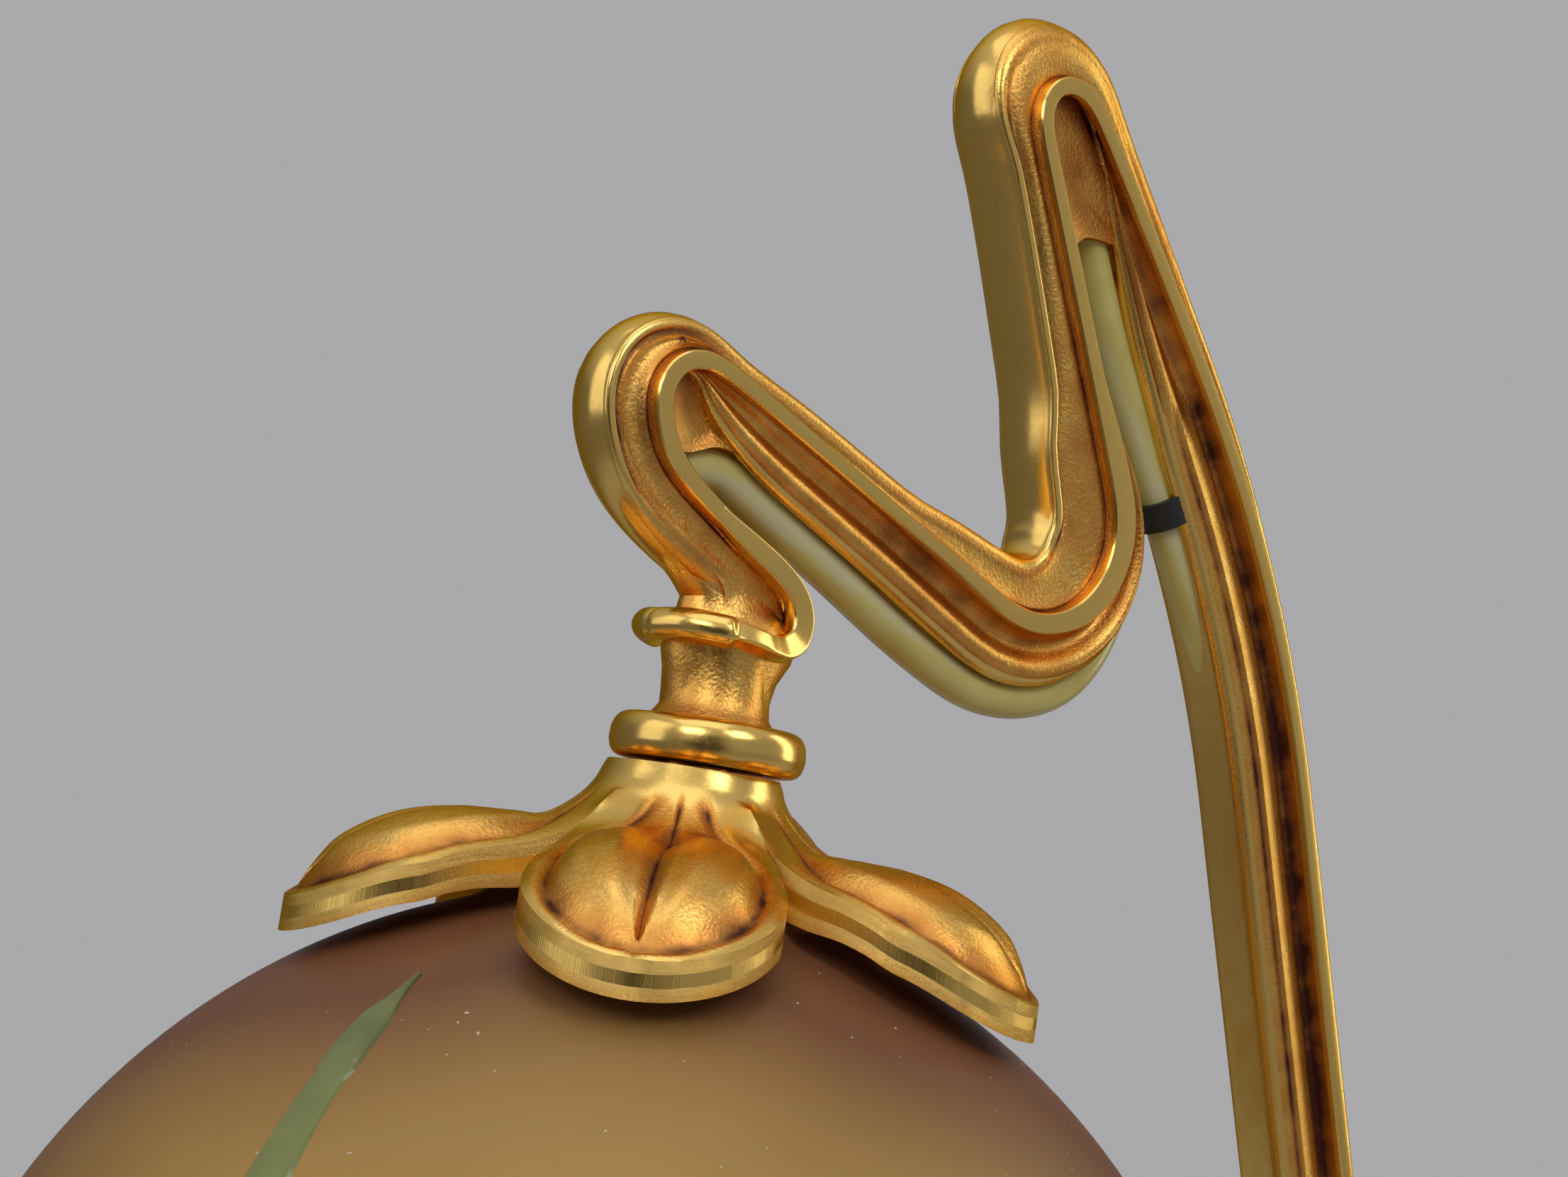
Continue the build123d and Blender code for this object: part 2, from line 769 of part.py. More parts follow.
def leaf_outline():
    """One leaf on the foot seen from above, pointing along X."""
    shift = leaf_half / 3
    widest = ((leaf_root_r + leaf_tip_r) / 2 + shift, leaf_half)
    root_cheek = (leaf_root_r + leaf_half, leaf_half * leaf_root_share)
    tip_cheek = (leaf_tip_r - shift, leaf_half * leaf_cheek_share)
    return both_sides(
        ThreePointArc((leaf_root_r, 0), root_cheek, widest),
        ThreePointArc(widest, tip_cheek, (leaf_tip_r, 0)),
    )


# Foot: a hollow dome with raised leaves, a ledge for its cover and an outlet for the cord
leaves = Sketch()
for turn in range(leaf_count):
    leaves += Rot(0, 0, front_petal + turn * 360 / leaf_count) * leaf_outline()
foot = foot_band(0) + (foot_band(leaf_rise) & extrude(leaves, foot_h * 2))
well = turned_polygon(
    (0, ledge_z),
    (ledge_r, ledge_z),
    (foot_shoulder_r - foot_wall, foot_shoulder_z - foot_wall),
    (foot_sweep_r, foot_sweep_z - foot_wall),
    (foot_well_r, roof_z - foot_wall / 2),
    (foot_well_r, roof_z),
    (0, roof_z),
)
foot -= [well, rod(cover_r + cover_gap, 0, ledge_z), rod(tenon_r + tenon_fit, roof_z, foot_h)]
outlet_plane = Plane((0, 0, outlet_z), x_dir=(0, 1, 0), z_dir=(1, 0, 0))
foot -= extrude(outlet_plane * Circle(outlet_bush_r + tenon_fit), foot_r * 2)
outlet_seat = outlet_plane.offset(outlet_seat_r)
foot -= extrude(outlet_seat * Circle(outlet_flange_r + tenon_fit), foot_r)
screw_circle_r = (ledge_r + cover_r) / 2
screw_spots = [
    Rot(0, 0, front_petal + turn * 360 / cover_screw_count) * Pos(screw_circle_r, 0, 0)
    for turn in range(cover_screw_count)
]
base_cover = rod(cover_r, cover_z, cover_t)
base_felt = rod(cover_r - felt_inset, 0, felt_t)
cover_screws = []
for spot in screw_spots:
    foot -= spot * rod(cover_screw_r + thread_fit, cover_z, cover_screw_length + cover_screw_spare)
    base_cover -= spot * rod(cover_screw_r + tenon_fit, cover_z, cover_t)
    head_bottom = cover_z - cover_screw_head_h
    base_felt -= spot * rod(cover_screw_head_r + tenon_fit, 0, felt_t)
    cover_screws.append(
        spot
        * (
            rod(cover_screw_head_r, head_bottom, cover_screw_head_h)
            + rod(cover_screw_r, cover_z, cover_screw_length)
        )
    )
parts["base_foot"] = foot
parts["base_cover"] = base_cover
parts["base_felt"] = base_felt
parts["cover_screws"] = Compound(children=cover_screws)

# Ballast ring on the cover, terminal block for the lead, bush in the cord outlet
parts["base_ballast"] = turned_polygon(
    (ballast_inner_r, ledge_z),
    (ballast_outer_r, ledge_z),
    (ballast_outer_r, ledge_z + ballast_outer_h - ballast_gap),
    (ballast_inner_r, ledge_z + ballast_inner_h - ballast_gap),
)
parts["terminal_block"] = Pos(0, 0, ledge_z) * Box(
    *block_size, align=(Align.CENTER, Align.CENTER, Align.MIN)
)
parts["terminal_screws"] = Compound(
    children=[
        spot * rod(block_screw_r, block_top, block_screw_h)
        for spot in GridLocations(*block_screw_pitch, *block_screw_rows)
    ]
)
bush = extrude(outlet_seat * Circle(outlet_flange_r), outlet_flange_t)
bush += extrude(outlet_seat * Circle(outlet_bush_r), ledge_r - outlet_seat_r)
bush -= extrude(outlet_plane * Circle(outlet_bore_r), foot_r * 2)
parts["cord_outlet_bush"] = bush

# Washer and nut that hold the stem's tenon under the foot's roof
parts["stem_washer"] = tube(washer_r, tenon_r + tenon_fit, washer_z, washer_t)
stem_nut = extrude(
    Pos(0, 0, stem_nut_z) * RegularPolygon(stem_nut_flat / 2, 6, major_radius=False),
    stem_nut_h,
)
parts["stem_nut"] = stem_nut - rod(tenon_r + thread_fit, stem_nut_z, stem_nut_h)

os.makedirs("parts", exist_ok=True)
for name, shape in parts.items():
    shape.label = name
    export_step(shape, f"parts/{name}.step")
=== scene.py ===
import json
from math import atan2, cos, pi, radians, sin, tau

import bpy
import numpy as np
from mathutils import Matrix, Vector


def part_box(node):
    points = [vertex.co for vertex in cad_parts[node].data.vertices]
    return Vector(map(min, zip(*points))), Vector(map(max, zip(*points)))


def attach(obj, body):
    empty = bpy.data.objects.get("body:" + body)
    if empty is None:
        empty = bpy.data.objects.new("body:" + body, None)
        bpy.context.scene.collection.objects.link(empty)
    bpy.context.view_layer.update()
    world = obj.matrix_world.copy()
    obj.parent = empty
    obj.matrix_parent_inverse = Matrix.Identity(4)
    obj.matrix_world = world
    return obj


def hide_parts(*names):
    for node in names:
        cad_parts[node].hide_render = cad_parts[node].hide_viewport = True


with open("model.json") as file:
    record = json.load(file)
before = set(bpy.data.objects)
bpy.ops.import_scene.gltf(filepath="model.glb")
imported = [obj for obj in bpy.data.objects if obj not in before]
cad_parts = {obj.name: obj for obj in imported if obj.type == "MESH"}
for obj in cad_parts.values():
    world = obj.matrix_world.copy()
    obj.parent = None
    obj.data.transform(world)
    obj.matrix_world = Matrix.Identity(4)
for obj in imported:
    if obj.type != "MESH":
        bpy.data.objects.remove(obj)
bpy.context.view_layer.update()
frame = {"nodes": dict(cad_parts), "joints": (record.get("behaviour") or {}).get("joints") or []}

bl_info = {
    "name": "Whiplash Table Lamp",
    "version": (1, 0, 0),
    "blender": (4, 5, 0),
    "location": "View3D > Sidebar > Lamp",
    "description": "Dresses the packed frame of an art nouveau table lamp",
    "category": "Object",
}

MM = 0.001
joints = {joint["name"]: joint for joint in frame["joints"]}
head_spot = Vector(joints["shade_turn"]["pos_m"])
head_axis = Vector(joints["shade_turn"]["axis"])
head_lean = atan2(head_axis.x, head_axis.z)

# Where sizes in millimetres are measured from: the calyx top in the arm's plane, the same
# spot leaned with the head, and the middle of the foot
ARM = Matrix.Translation(head_spot) @ Matrix.Scale(MM, 4)
HEAD = Matrix.Translation(head_spot) @ Matrix.Rotation(head_lean, 4, "Y") @ Matrix.Scale(MM, 4)
FOOT = Matrix.Scale(MM, 4)

foot_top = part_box("base_foot")[1].z / MM
foot_from_head = (-head_spot.x / MM, foot_top - head_spot.z / MM)

# Whip line, the rib line of stem and arm: corners from the calyx top, and bends
WHIP_CORNERS = {
    "foot": foot_from_head,
    "rise": (64.0, -258.0),
    "bow": (109.4, -105.0),
    "shoulder": (89.2, 23.0),
    "hairpin": (37.0, 113.5),
    "valley": (68.5, 0.0),
    "hump": (-8.6, 50.0),
    "leg": (-6.8, 34.0),
    "scroll": (12.0, 18.6),
    "tip": (9.6, 13.6),
}
WHIP_BENDS = (250.0, 200.0, 160.0, 5.0, 12.5, 5.0, 10.0, 3.0)

# Step between points of the line, and how far the line and its section are smoothed
LINE_STEP = 0.5
LINE_EASE = 2.2
KEY_EASE = 2.6

# Radius of a soft arris, how far it stands out past a sharp one, the depth of the notch under
# a sharp one, and the rounding of the core's inner edge
ROLL = 2.4
ROLL_OUT = 1.1
NOTCH_DEEP = 0.75
EDGE_R = 1.4

# Stations along the whip: the turn from one to the next in radians, how far the bends are
# smoothed for it, and the shortest and longest gap
STATION_TURN = 0.055
STATION_EASE = 4.0
STATION_GAPS = (0.55, 3.0)

# Patina is stored above zero, because a vertex that a boolean makes can start at zero
PATINA_FLOOR = 0.02

# Section of the whip along its line: corner, distance past it, then the arris (outwards and
# across), the crown's rise, the lip's height, its inner half width, the belly of the groove,
# the core's depth, how far the inner side is hollowed instead, and how sharp the arris is
SECTION_KEYS = (
    ("foot", 0, 4.4, 3.8, 1.0, 6.2, 0.9, 0.0, 10.2, 0.0, 0.6),
    ("shoulder", -40, 4.3, 3.7, 1.0, 6.2, 0.9, 0.0, 10.2, 0.0, 0.6),
    ("shoulder", 0, 4.1, 3.6, 1.0, 6.2, 0.9, 0.0, 10.0, 0.0, 0.6),
    ("hairpin", -52, 4.3, 3.8, 1.0, 6.2, 0.9, 0.1, 9.6, 0.0, 0.5),
    ("hairpin", -36, 4.4, 4.0, 1.0, 6.2, 0.9, 0.1, 7.0, 0.0, 0.4),
    ("hairpin", -24, 4.5, 4.2, 1.0, 6.1, 0.9, 0.2, 4.0, 0.0, 0.2),
    ("hairpin", -14, 4.5, 4.3, 1.1, 6.1, 1.0, 0.25, 2.4, 0.4, 0.0),
    ("hairpin", -9, 4.8, 4.3, 1.1, 6.0, 1.1, 0.25, 2.0, 0.9, 0.0),
    ("hairpin", -3.5, 5.8, 4.3, 1.2, 6.0, 1.1, 0.25, 2.0, 1.0, 0.0),
    ("hairpin", 0, 8.0, 4.4, 1.2, 6.0, 1.1, 0.25, 2.0, 1.0, 0.0),
    ("hairpin", 3.5, 7.2, 4.6, 1.0, 6.0, 1.1, 0.25, 2.0, 1.0, 0.3),
    ("hairpin", 8, 5.0, 4.7, 0.9, 6.2, 1.1, 0.25, 2.0, 1.0, 1.0),
    ("hairpin", 20, 5.4, 4.8, 0.8, 6.3, 1.2, 0.25, 2.0, 1.0, 1.0),
    ("hairpin", 42, 6.8, 5.0, 0.8, 6.4, 1.3, 0.25, 2.4, 0.8, 1.0),
    ("valley", -34, 7.9, 4.8, 0.8, 6.4, 1.6, 0.2, 3.4, 0.3, 1.0),
    ("valley", -22, 8.8, 4.6, 0.8, 6.4, 2.2, 0.1, 4.6, 0.0, 1.0),
    ("valley", -12, 9.8, 4.6, 0.8, 6.3, 2.6, 0.0, 6.2, 0.0, 1.0),
    ("valley", -2, 9.6, 4.6, 0.8, 6.2, 2.2, -0.2, 7.6, 0.0, 0.8),
    ("valley", 10, 6.6, 4.6, 0.8, 6.2, 1.3, -0.2, 7.9, 0.0, 0.3),
    ("valley", 28, 4.4, 4.5, 0.8, 6.0, 0.8, 0.0, 7.6, 0.0, 0.2),
    ("hump", -40, 3.6, 4.2, 0.8, 5.7, 0.8, 0.0, 7.4, 0.0, 0.2),
    ("hump", -18, 3.2, 4.0, 0.8, 5.4, 0.8, -0.1, 7.2, 0.0, 0.3),
    ("hump", -9, 2.4, 3.8, 0.8, 5.2, 0.9, -0.2, 5.6, 0.0, 0.2),
    ("hump", -4, 3.2, 3.7, 0.8, 5.1, 1.0, -0.4, 3.8, 0.2, 0.4),
    ("hump", 0, 5.4, 3.6, 0.8, 5.1, 1.1, -0.4, 2.4, 0.7, 0.8),
    ("hump", 3, 6.9, 3.6, 0.8, 5.1, 1.2, -0.4, 2.2, 0.9, 1.0),
    ("hump", 7, 6.4, 3.6, 0.8, 5.1, 1.2, -0.4, 2.2, 0.9, 1.0),
    ("leg", 0, 6.2, 3.6, 0.8, 5.1, 1.2, -0.4, 2.0, 1.0, 0.8),
    ("leg", 7, 5.7, 3.6, 0.8, 5.1, 1.0, -0.3, 2.0, 1.0, 0.1),
    ("leg", 13, 5.4, 3.5, 0.7, 4.9, 1.0, -0.2, 2.0, 0.8, 0.0),
    ("scroll", -6, 4.4, 3.2, 0.6, 4.6, 0.9, -0.2, 2.2, 0.6, 0.0),
    ("scroll", 0, 2.4, 2.2, 0.4, 3.8, 0.8, -0.1, 2.2, 0.2, 0.0),
    ("tip", 0, 1.6, 1.4, 0.3, 2.4, 0.8, 0.0, 1.8, 0.0, 0.0),
)

# Sharp arris down to its dark notch: outwards and across from the arris, the share of the
# notch's depth that is cut there, and patina
ARRIS_FACE = (
    (0.02, -0.42, 0.0, 0.0),
    (-0.08, -0.12, 0.0, 0.0),
    (-0.3, 0.04, 0.0, 0.0),
    (-0.7, 0.1, 0.0, 0.0),
    (-1.0, 0.02, 0.0, 0.05),
    (-1.2, -0.12, 0.5, 0.7),
    (-1.4, -0.15, 1.0, 1.0),
    (-1.75, -0.12, 1.0, 0.9),
)

# Side of the core from the lip inwards: swell and patina on the arm, then on the stem
CORE_FACE = (
    (-0.2, 0.62, -0.6, 0.95),
    (-0.7, 0.66, -0.85, 0.90),
    (-1.0, 0.58, -0.38, 0.36),
    (-1.05, 0.50, -0.24, 0.28),
    (-0.85, 0.43, -0.10, 0.24),
    (-0.45, 0.39, 0.04, 0.20),
    (0.0, 0.37, 0.18, 0.20),
    (0.35, 0.36, 0.28, 0.26),
    (0.55, 0.36, -0.25, 0.90),
    (0.6, 0.40, -0.35, 0.34),
    (0.45, 0.46, -0.45, 0.30),
    (0.05, 0.60, -0.7, 0.26),
)

# How far the ring stands off the head's axis
RING_OFF = (0.9, -0.6, 0.0)

# Ring's rim: how far inside the ring's radius, and height; then radius and height of the neck
RING_RIM = (
    (1.9, 0.35),
    (1.0, 0.55),
    (0.35, 1.1),
    (0.02, 2.1),
    (0.0, 2.9),
    (0.12, 3.9),
    (0.55, 4.8),
    (1.3, 5.35),
    (2.3, 5.5),
)
NECK_OUTLINE = ((6.9, 5.6), (5.9, 7.2), (5.5, 10.0), (5.7, 13.0), (6.2, 15.0))

# Stem's flare on the foot: radius, and height over the foot
ROOT_OUTLINE = ((15.0, 0.0), (12.6, 3.0), (10.4, 9.0), (9.0, 18.0), (8.2, 30.0))

# Patina of the ring, the neck and its swelling, and of the lip on the leg and collar
RING_TONE = 0.03
NECK_TONE = 0.36
SWELL_TONE = 0.38
LIP_TONE = 0.03

# Neck under the collar: height, middle and half widths along the arm and across it
NECK_SWELL = (
    (2.6, 2.0, 6.8, 6.2),
    (5.0, 2.3, 6.6, 6.0),
    (7.0, 2.7, 6.4, 5.6),
    (9.1, 3.3, 6.8, 5.5),
    (11.4, 4.4, 7.8, 5.7),
    (13.6, 4.8, 8.4, 5.8),
    (15.2, 4.8, 8.0, 5.4),
    (17.0, 4.6, 6.8, 4.2),
    (19.2, 4.3, 5.8, 3.3),
    (21.0, 2.8, 5.6, 3.0),
    (23.0, 0.4, 5.0, 2.8),
)

# Line of the lip that comes down the leg and wraps the neck as its collar, on one side
SCROLL_PATH = (
    (-1.9, 3.9, 29.9),
    (1.6, 4.3, 26.9),
    (5.1, 4.6, 24.1),
    (8.3, 4.8, 21.5),
    (10.3, 4.8, 19.2),
    (11.0, 4.8, 16.7),
    (10.0, 5.3, 14.3),
    (7.6, 6.2, 13.3),
    (5.4, 7.0, 13.5),
    (3.7, 7.4, 14.0),
    (1.0, 7.3, 14.85),
    (-1.4, 6.2, 15.5),
    (-3.5, 3.9, 16.1),
    (-4.7, 0.3, 16.15),
    (-4.6, -1.5, 16.15),
)
SCROLL_STEPS = 170

# Shares of that line where the band turns into the collar's bead, and where the bead closes
COLLAR_START = (0.745, 0.765)
COLLAR_END = (0.95, 1.0)

# Walls of the casting, each as corners in the arm's plane, its half thickness, how far its faces are
# hollowed, and how dark it is
#  made at its top and bottom
WALLS = {
    "crook": (
        ((-5.0, 45.5), (-1.0, 47.5), (14.0, 38.5), (9.5, 32.2), (4.5, 34.4), (1.0, 35.4), (-4.6, 35.4)),
        3.2,
        0.8,
        (0.95, 0.45),
    ),
    "hairpin": (
        (
            (46.6, 79.0),
            (49.8, 82.6),
            (54.8, 80.0),
            (60.5, 71.0),
            (66.0, 61.5),
            (62.0, 63.0),
            (56.5, 63.6),
            (51.6, 61.0),
        ),
        3.2,
        0.5,
        (0.7, 0.45),
    ),
    "leg": (
        (
            (-1.9, 29.2),
            (1.6, 26.7),
            (5.1, 24.1),
            (8.3, 21.5),
            (10.3, 19.2),
            (10.9, 16.7),
            (9.8, 14.4),
            (6.4, 13.8),
            (1.0, 14.8),
            (1.8, 19.4),
            (0.0, 22.0),
            (-2.4, 24.6),
            (-3.4, 27.0),
        ),
        3.35,
        0.1,
        (0.36, 0.36),
    ),
}

# Lead: control points of its line from the calyx top, in the arm's plane
FLEX_ROUTE = (
    (62.0, -316.0),
    (62.4, -290.0),
    (66.0, -252.0),
    (86.0, -182.0),
    (103.0, -118.0),
    (103.0, -66.0),
    (97.0, -28.0),
    (90.5, -6.0),
    (80.0, 15.0),
    (72.0, 33.0),
    (64.2, 50.0),
    (60.8, 60.5),
    (58.8, 68.5),
    (53.8, 69.0),
    (52.9, 60.0),
    (56.8, 48.5),
    (62.4, 38.5),
    (66.0, 28.0),
    (63.2, 15.4),
    (54.8, 6.9),
    (41.8, 6.6),
    (30.0, 13.6),
    (20.0, 21.0),
    (12.5, 26.4),
    (6.8, 30.4),
    (2.4, 33.6),
    (-3.6, 33.2),
    (-3.8, 27.4),
    (2.0, 21.8),
    (1.8, 9.0),
    (-3.0, -20.0),
    (-8.6, -46.5),
)

# Lead: radius and sides of its sheath, offset and radius of its two wires, and the length in
# which they twist once round
LEAD_R = 2.45
LEAD_SIDES = 28
WIRE_OFF = 1.0
WIRE_R = 0.85
LEAD_TWIST = 170.0

# Lead's way in the casting: its radius, how far before the hairpin it starts, the depths
# inside the whip line that count, how near a step they are looked for, the greatest depth past
# the start, the depth that stands for no lead at all, and how far depths are smoothed
LEAD_ROOM = 2.85
LEAD_OUT = 33.0
LEAD_SPAN = (-1.0, 13.0)
LEAD_NEAR = 0.6
LEAD_DEEP = 16.0
NO_LEAD = 60.0
LEAD_EASE = 2.0

# Petals of the calyx, and where the front one points, in degrees
PETALS = 5
FRONT_PETAL = 231.0


# Properties


def length(name, description, default):
    """A size in millimetres, kept in metres as Blender shows it."""
    return bpy.props.FloatProperty(
        name=name, description=description, default=default * MM, unit="LENGTH", precision=5
    )


def colour(name, description, default):
    """A finish's colour, in linear light."""
    return bpy.props.FloatVectorProperty(
        name=name,
        description=description,
        default=default,
        size=3,
        subtype="COLOR",
        min=0.0,
        max=1.0,
    )


class FinishSettings(bpy.types.PropertyGroup):
    """Colours of the lamp's finishes."""

    polished: colour("Polished gilt", "Burnished crests of the casting", (0.90, 0.60, 0.17))
    matte: colour("Matte gilt", "Frosted gilding on pillows and neck", (0.88, 0.50, 0.115))
    copper: colour("Copper", "Worn gilding in the broad grooves", (0.68, 0.29, 0.065))
    patina: colour("Patina", "Dark purple-brown in the fine grooves", (0.10, 0.035, 0.028))
    amber: colour("Amber", "Yellow of the satin glass", (0.50, 0.30, 0.075))
    rose: colour("Rose", "Rose-brown of the satin glass", (0.20, 0.075, 0.032))
    leaf_green: colour("Leaf green", "Cut stems on the glass", (0.34, 0.38, 0.12))


class WhipSettings(bpy.types.PropertyGroup):
    """Sizes of stem and arm."""

    lip: length("Lip", "Outer half width of the raised lip", 1.1)
    core: length("Core", "Half thickness of the core under the lip", 4.3)
    ring: length("Ring", "Radius of the ring under the neck", 10.9)


class CalyxSettings(bpy.types.PropertyGroup):
    """Sizes of the calyx."""

    groove: length("Groove", "Depth of a petal's grooves", 1.0)
    pillow: length("Pillow", "Swell of a petal's two lobes", 1.0)


class ShadeSettings(bpy.types.PropertyGroup):
    """Sizes of the glass shade."""

    wall: length("Wall", "Thickness of the glass", 3.2)
    stem_rise: length("Stem rise", "How far a cut stem stands proud", 0.45)


class StageSettings(bpy.types.PropertyGroup):
    """Camera and backdrop."""

    lens: bpy.props.FloatProperty(
        name="Lens", description="Focal length of the camera in mm", default=53.7
    )
    azimuth: bpy.props.FloatProperty(
        name="Azimuth",
        description="Camera's way round from the front",
        default=radians(-37.0),
        subtype="ANGLE",
    )
    pitch: bpy.props.FloatProperty(
        name="Pitch", description="Camera's tilt upwards", default=radians(0.5), subtype="ANGLE"
    )
    grey: colour("Backdrop", "Grey behind the lamp", (0.40, 0.40, 0.415))


# Lines and outlines

# Points worked out between two corners of a smooth curve
STEPS_BETWEEN = 24


def eased(values, reach):
    """Values one step apart, smoothed over a reach in millimetres."""
    spread = max(1, int(3 * reach / LINE_STEP))
    weights = np.exp(-0.5 * (np.arange(-spread, spread + 1) * LINE_STEP / reach) ** 2)
    weights /= weights.sum()
    flat = values.reshape(len(values), -1)
    steps = np.arange(1, spread + 1)[:, None]
    before = flat[0] - (flat[1] - flat[0]) * steps[::-1]
    after = flat[-1] + (flat[-1] - flat[-2]) * steps
    padded = np.vstack([before, flat, after])
    out = [np.convolve(padded[:, k], weights, "valid") for k in range(flat.shape[1])]
    return np.stack(out, 1).reshape(values.shape)


def between(first, second, share):
    """Value part of the way from one to another."""
    return first + (second - first) * share


def headings(line):
    """Unit vectors along a line at each of its points."""
    ways = np.gradient(line, axis=0)
    return ways / np.linalg.norm(ways, axis=1, keepdims=True)


def run_along(spots):
    """Distance along a line up to each of its points."""
    return np.concatenate([[0], np.cumsum(np.linalg.norm(np.diff(spots, axis=0), axis=1))])


def spots_at(spots, run, places):
    """Points of a line at given distances along it."""
    return np.stack([np.interp(places, run, column) for column in spots.T], 1)


def filleted(corners, bends):
    """Points one step apart along straight runs joined by tangent arcs."""
    corners = [np.array(corner, float) for corner in corners]
    spots = [corners[0]]
    for before, corner, after, bend in zip(corners, corners[1:], corners[2:], bends):
        way_in = (corner - before) / np.linalg.norm(corner - before)
        way_out = (after - corner) / np.linalg.norm(after - corner)
        side = np.sign(way_in[0] * way_out[1] - way_in[1] * way_out[0])
        turn = np.arccos(np.clip(way_in @ way_out, -1, 1))
        start = corner - way_in * bend * np.tan(turn / 2)
        across = side * np.array([-way_in[1], way_in[0]])
        for angle in np.linspace(0, turn, max(3, int(turn * bend / LINE_STEP) + 2)):
            spots.append(start + bend * (way_in * sin(angle) + across * (1 - cos(angle))))
    spots.append(corners[-1])
    spots = np.array(spots)
    run = run_along(spots)
    return spots_at(spots, run, np.arange(0, run[-1], LINE_STEP))


def rounded(corners, count):
    """Smooth curve through a few corners, with points evenly spread along it."""
    corners = np.array(corners, float)
    padded = np.vstack([2 * corners[0] - corners[1], corners, 2 * corners[-1] - corners[-2]])
    spots = []
    for a, b, c, d in zip(padded, padded[1:], padded[2:], padded[3:]):
        square, cube = 2 * a - 5 * b + 4 * c - d, 3 * b - a - 3 * c + d
        for t in np.linspace(0, 1, STEPS_BETWEEN, endpoint=False):
            spots.append(0.5 * (2 * b + (c - a) * t + square * t**2 + cube * t**3))
    spots = np.vstack([spots, corners[-1]])
    run = run_along(spots)
    return spots_at(spots, run, np.linspace(0, run[-1], count))


def distance_to(line, x, y):
    """Distance from spots of a plane to a line given by its points."""
    best = np.full(np.shape(x), 1e9)
    for (ax, ay), (bx, by) in zip(line, line[1:]):
        dx, dy = bx - ax, by - ay
        t = np.clip(((x - ax) * dx + (y - ay) * dy) / max(dx * dx + dy * dy, 1e-12), 0, 1)
        best = np.minimum(best, np.hypot(x - ax - t * dx, y - ay - t * dy))
    return best


def ramp(x, low, high):
    """Smooth rise from 0 to 1 between two values."""
    t = np.clip((np.asarray(x, float) - low) / (high - low), 0, 1)
    return t * t * (3 - 2 * t)


# Mesh helpers


def placed(spots, place):
    """Spots in millimetres, put into the shared frame in metres."""
    matrix = np.array(place)
    return np.asarray(spots, float) @ matrix[:3, :3].T + matrix[:3, 3]


def start_clean():
    """Leaves edit mode and deselects everything."""
    if bpy.context.object and bpy.context.object.mode != "OBJECT":
        bpy.ops.object.mode_set(mode="OBJECT")
    bpy.ops.object.select_all(action="DESELECT")


def activate(piece):
    """Makes one piece the only selected and active object."""
    start_clean()
    piece.select_set(True)
    bpy.context.view_layer.objects.active = piece


def set_values(piece, values):
    """Stores one number for each vertex under each given name."""
    for name, numbers in values.items():
        layer = piece.data.attributes.new(name, "FLOAT", "POINT")
        layer.data.foreach_set("value", np.asarray(numbers, np.float32).ravel())


def lofted(name, rings, place, values=None, wrap=True, keep=None):
    """A grid wrapped round rows of spots, with its seam and collapsed ends merged."""
    values = values or {}
    if wrap:
        rings = np.concatenate([rings, rings[:, :1]], axis=1)
        values = {k: np.concatenate([v, v[:, :1]], axis=1) for k, v in values.items()}
    rows, columns = rings.shape[:2]
    start_clean()
    bpy.ops.mesh.primitive_grid_add(x_subdivisions=columns - 1, y_subdivisions=rows - 1)
    piece = bpy.context.object
    piece.name = piece.data.name = name
    piece.location = (0, 0, 0)
    piece.data.vertices.foreach_set("co", placed(rings.reshape(-1, 3), place).ravel())
    set_values(piece, values)
    if keep is not None:
        faces = np.asarray(keep, bool).ravel()
        piece.data.polygons.foreach_set("select", ~faces)
        piece.data.update()
        bpy.context.tool_settings.mesh_select_mode = (False, False, True)
        bpy.ops.object.mode_set(mode="EDIT")
        bpy.ops.mesh.delete(type="FACE")
        bpy.ops.object.mode_set(mode="OBJECT")
    tidy(piece)
    return piece


def tidy(piece, merge=2e-6):
    """Merges doubled vertices and turns all faces outwards."""
    activate(piece)
    bpy.ops.object.mode_set(mode="EDIT")
    bpy.ops.mesh.select_all(action="SELECT")
    bpy.ops.mesh.remove_doubles(threshold=merge)
    bpy.ops.mesh.normals_make_consistent(inside=False)
    bpy.ops.object.mode_set(mode="OBJECT")


def closed_ends(rings):
    """Adds a collapsed ring at both ends, so that the loft is closed."""
    first = np.repeat(rings[:1].mean(axis=1, keepdims=True), rings.shape[1], axis=1)
    last = np.repeat(rings[-1:].mean(axis=1, keepdims=True), rings.shape[1], axis=1)
    return np.concatenate([first, rings, last])


def turned(name, outline, place, steps=96, values=None):
    """A closed half outline of (radius, height) spun about the head's or foot's axis."""
    angles = np.linspace(0, tau, steps, endpoint=False)
    outline = np.array(outline, float)
    rows = np.stack(
        [
            np.stack([outline[:, 0] * cos(a), outline[:, 0] * sin(a), outline[:, 1]], 1)
            for a in angles
        ]
    )
    rows = np.concatenate([rows, rows[:1]])
    values = {
        k: np.repeat(np.asarray(v, float)[None, :], steps + 1, axis=0)
        for k, v in (values or {}).items()
    }
    return lofted(name, rows, place, values)


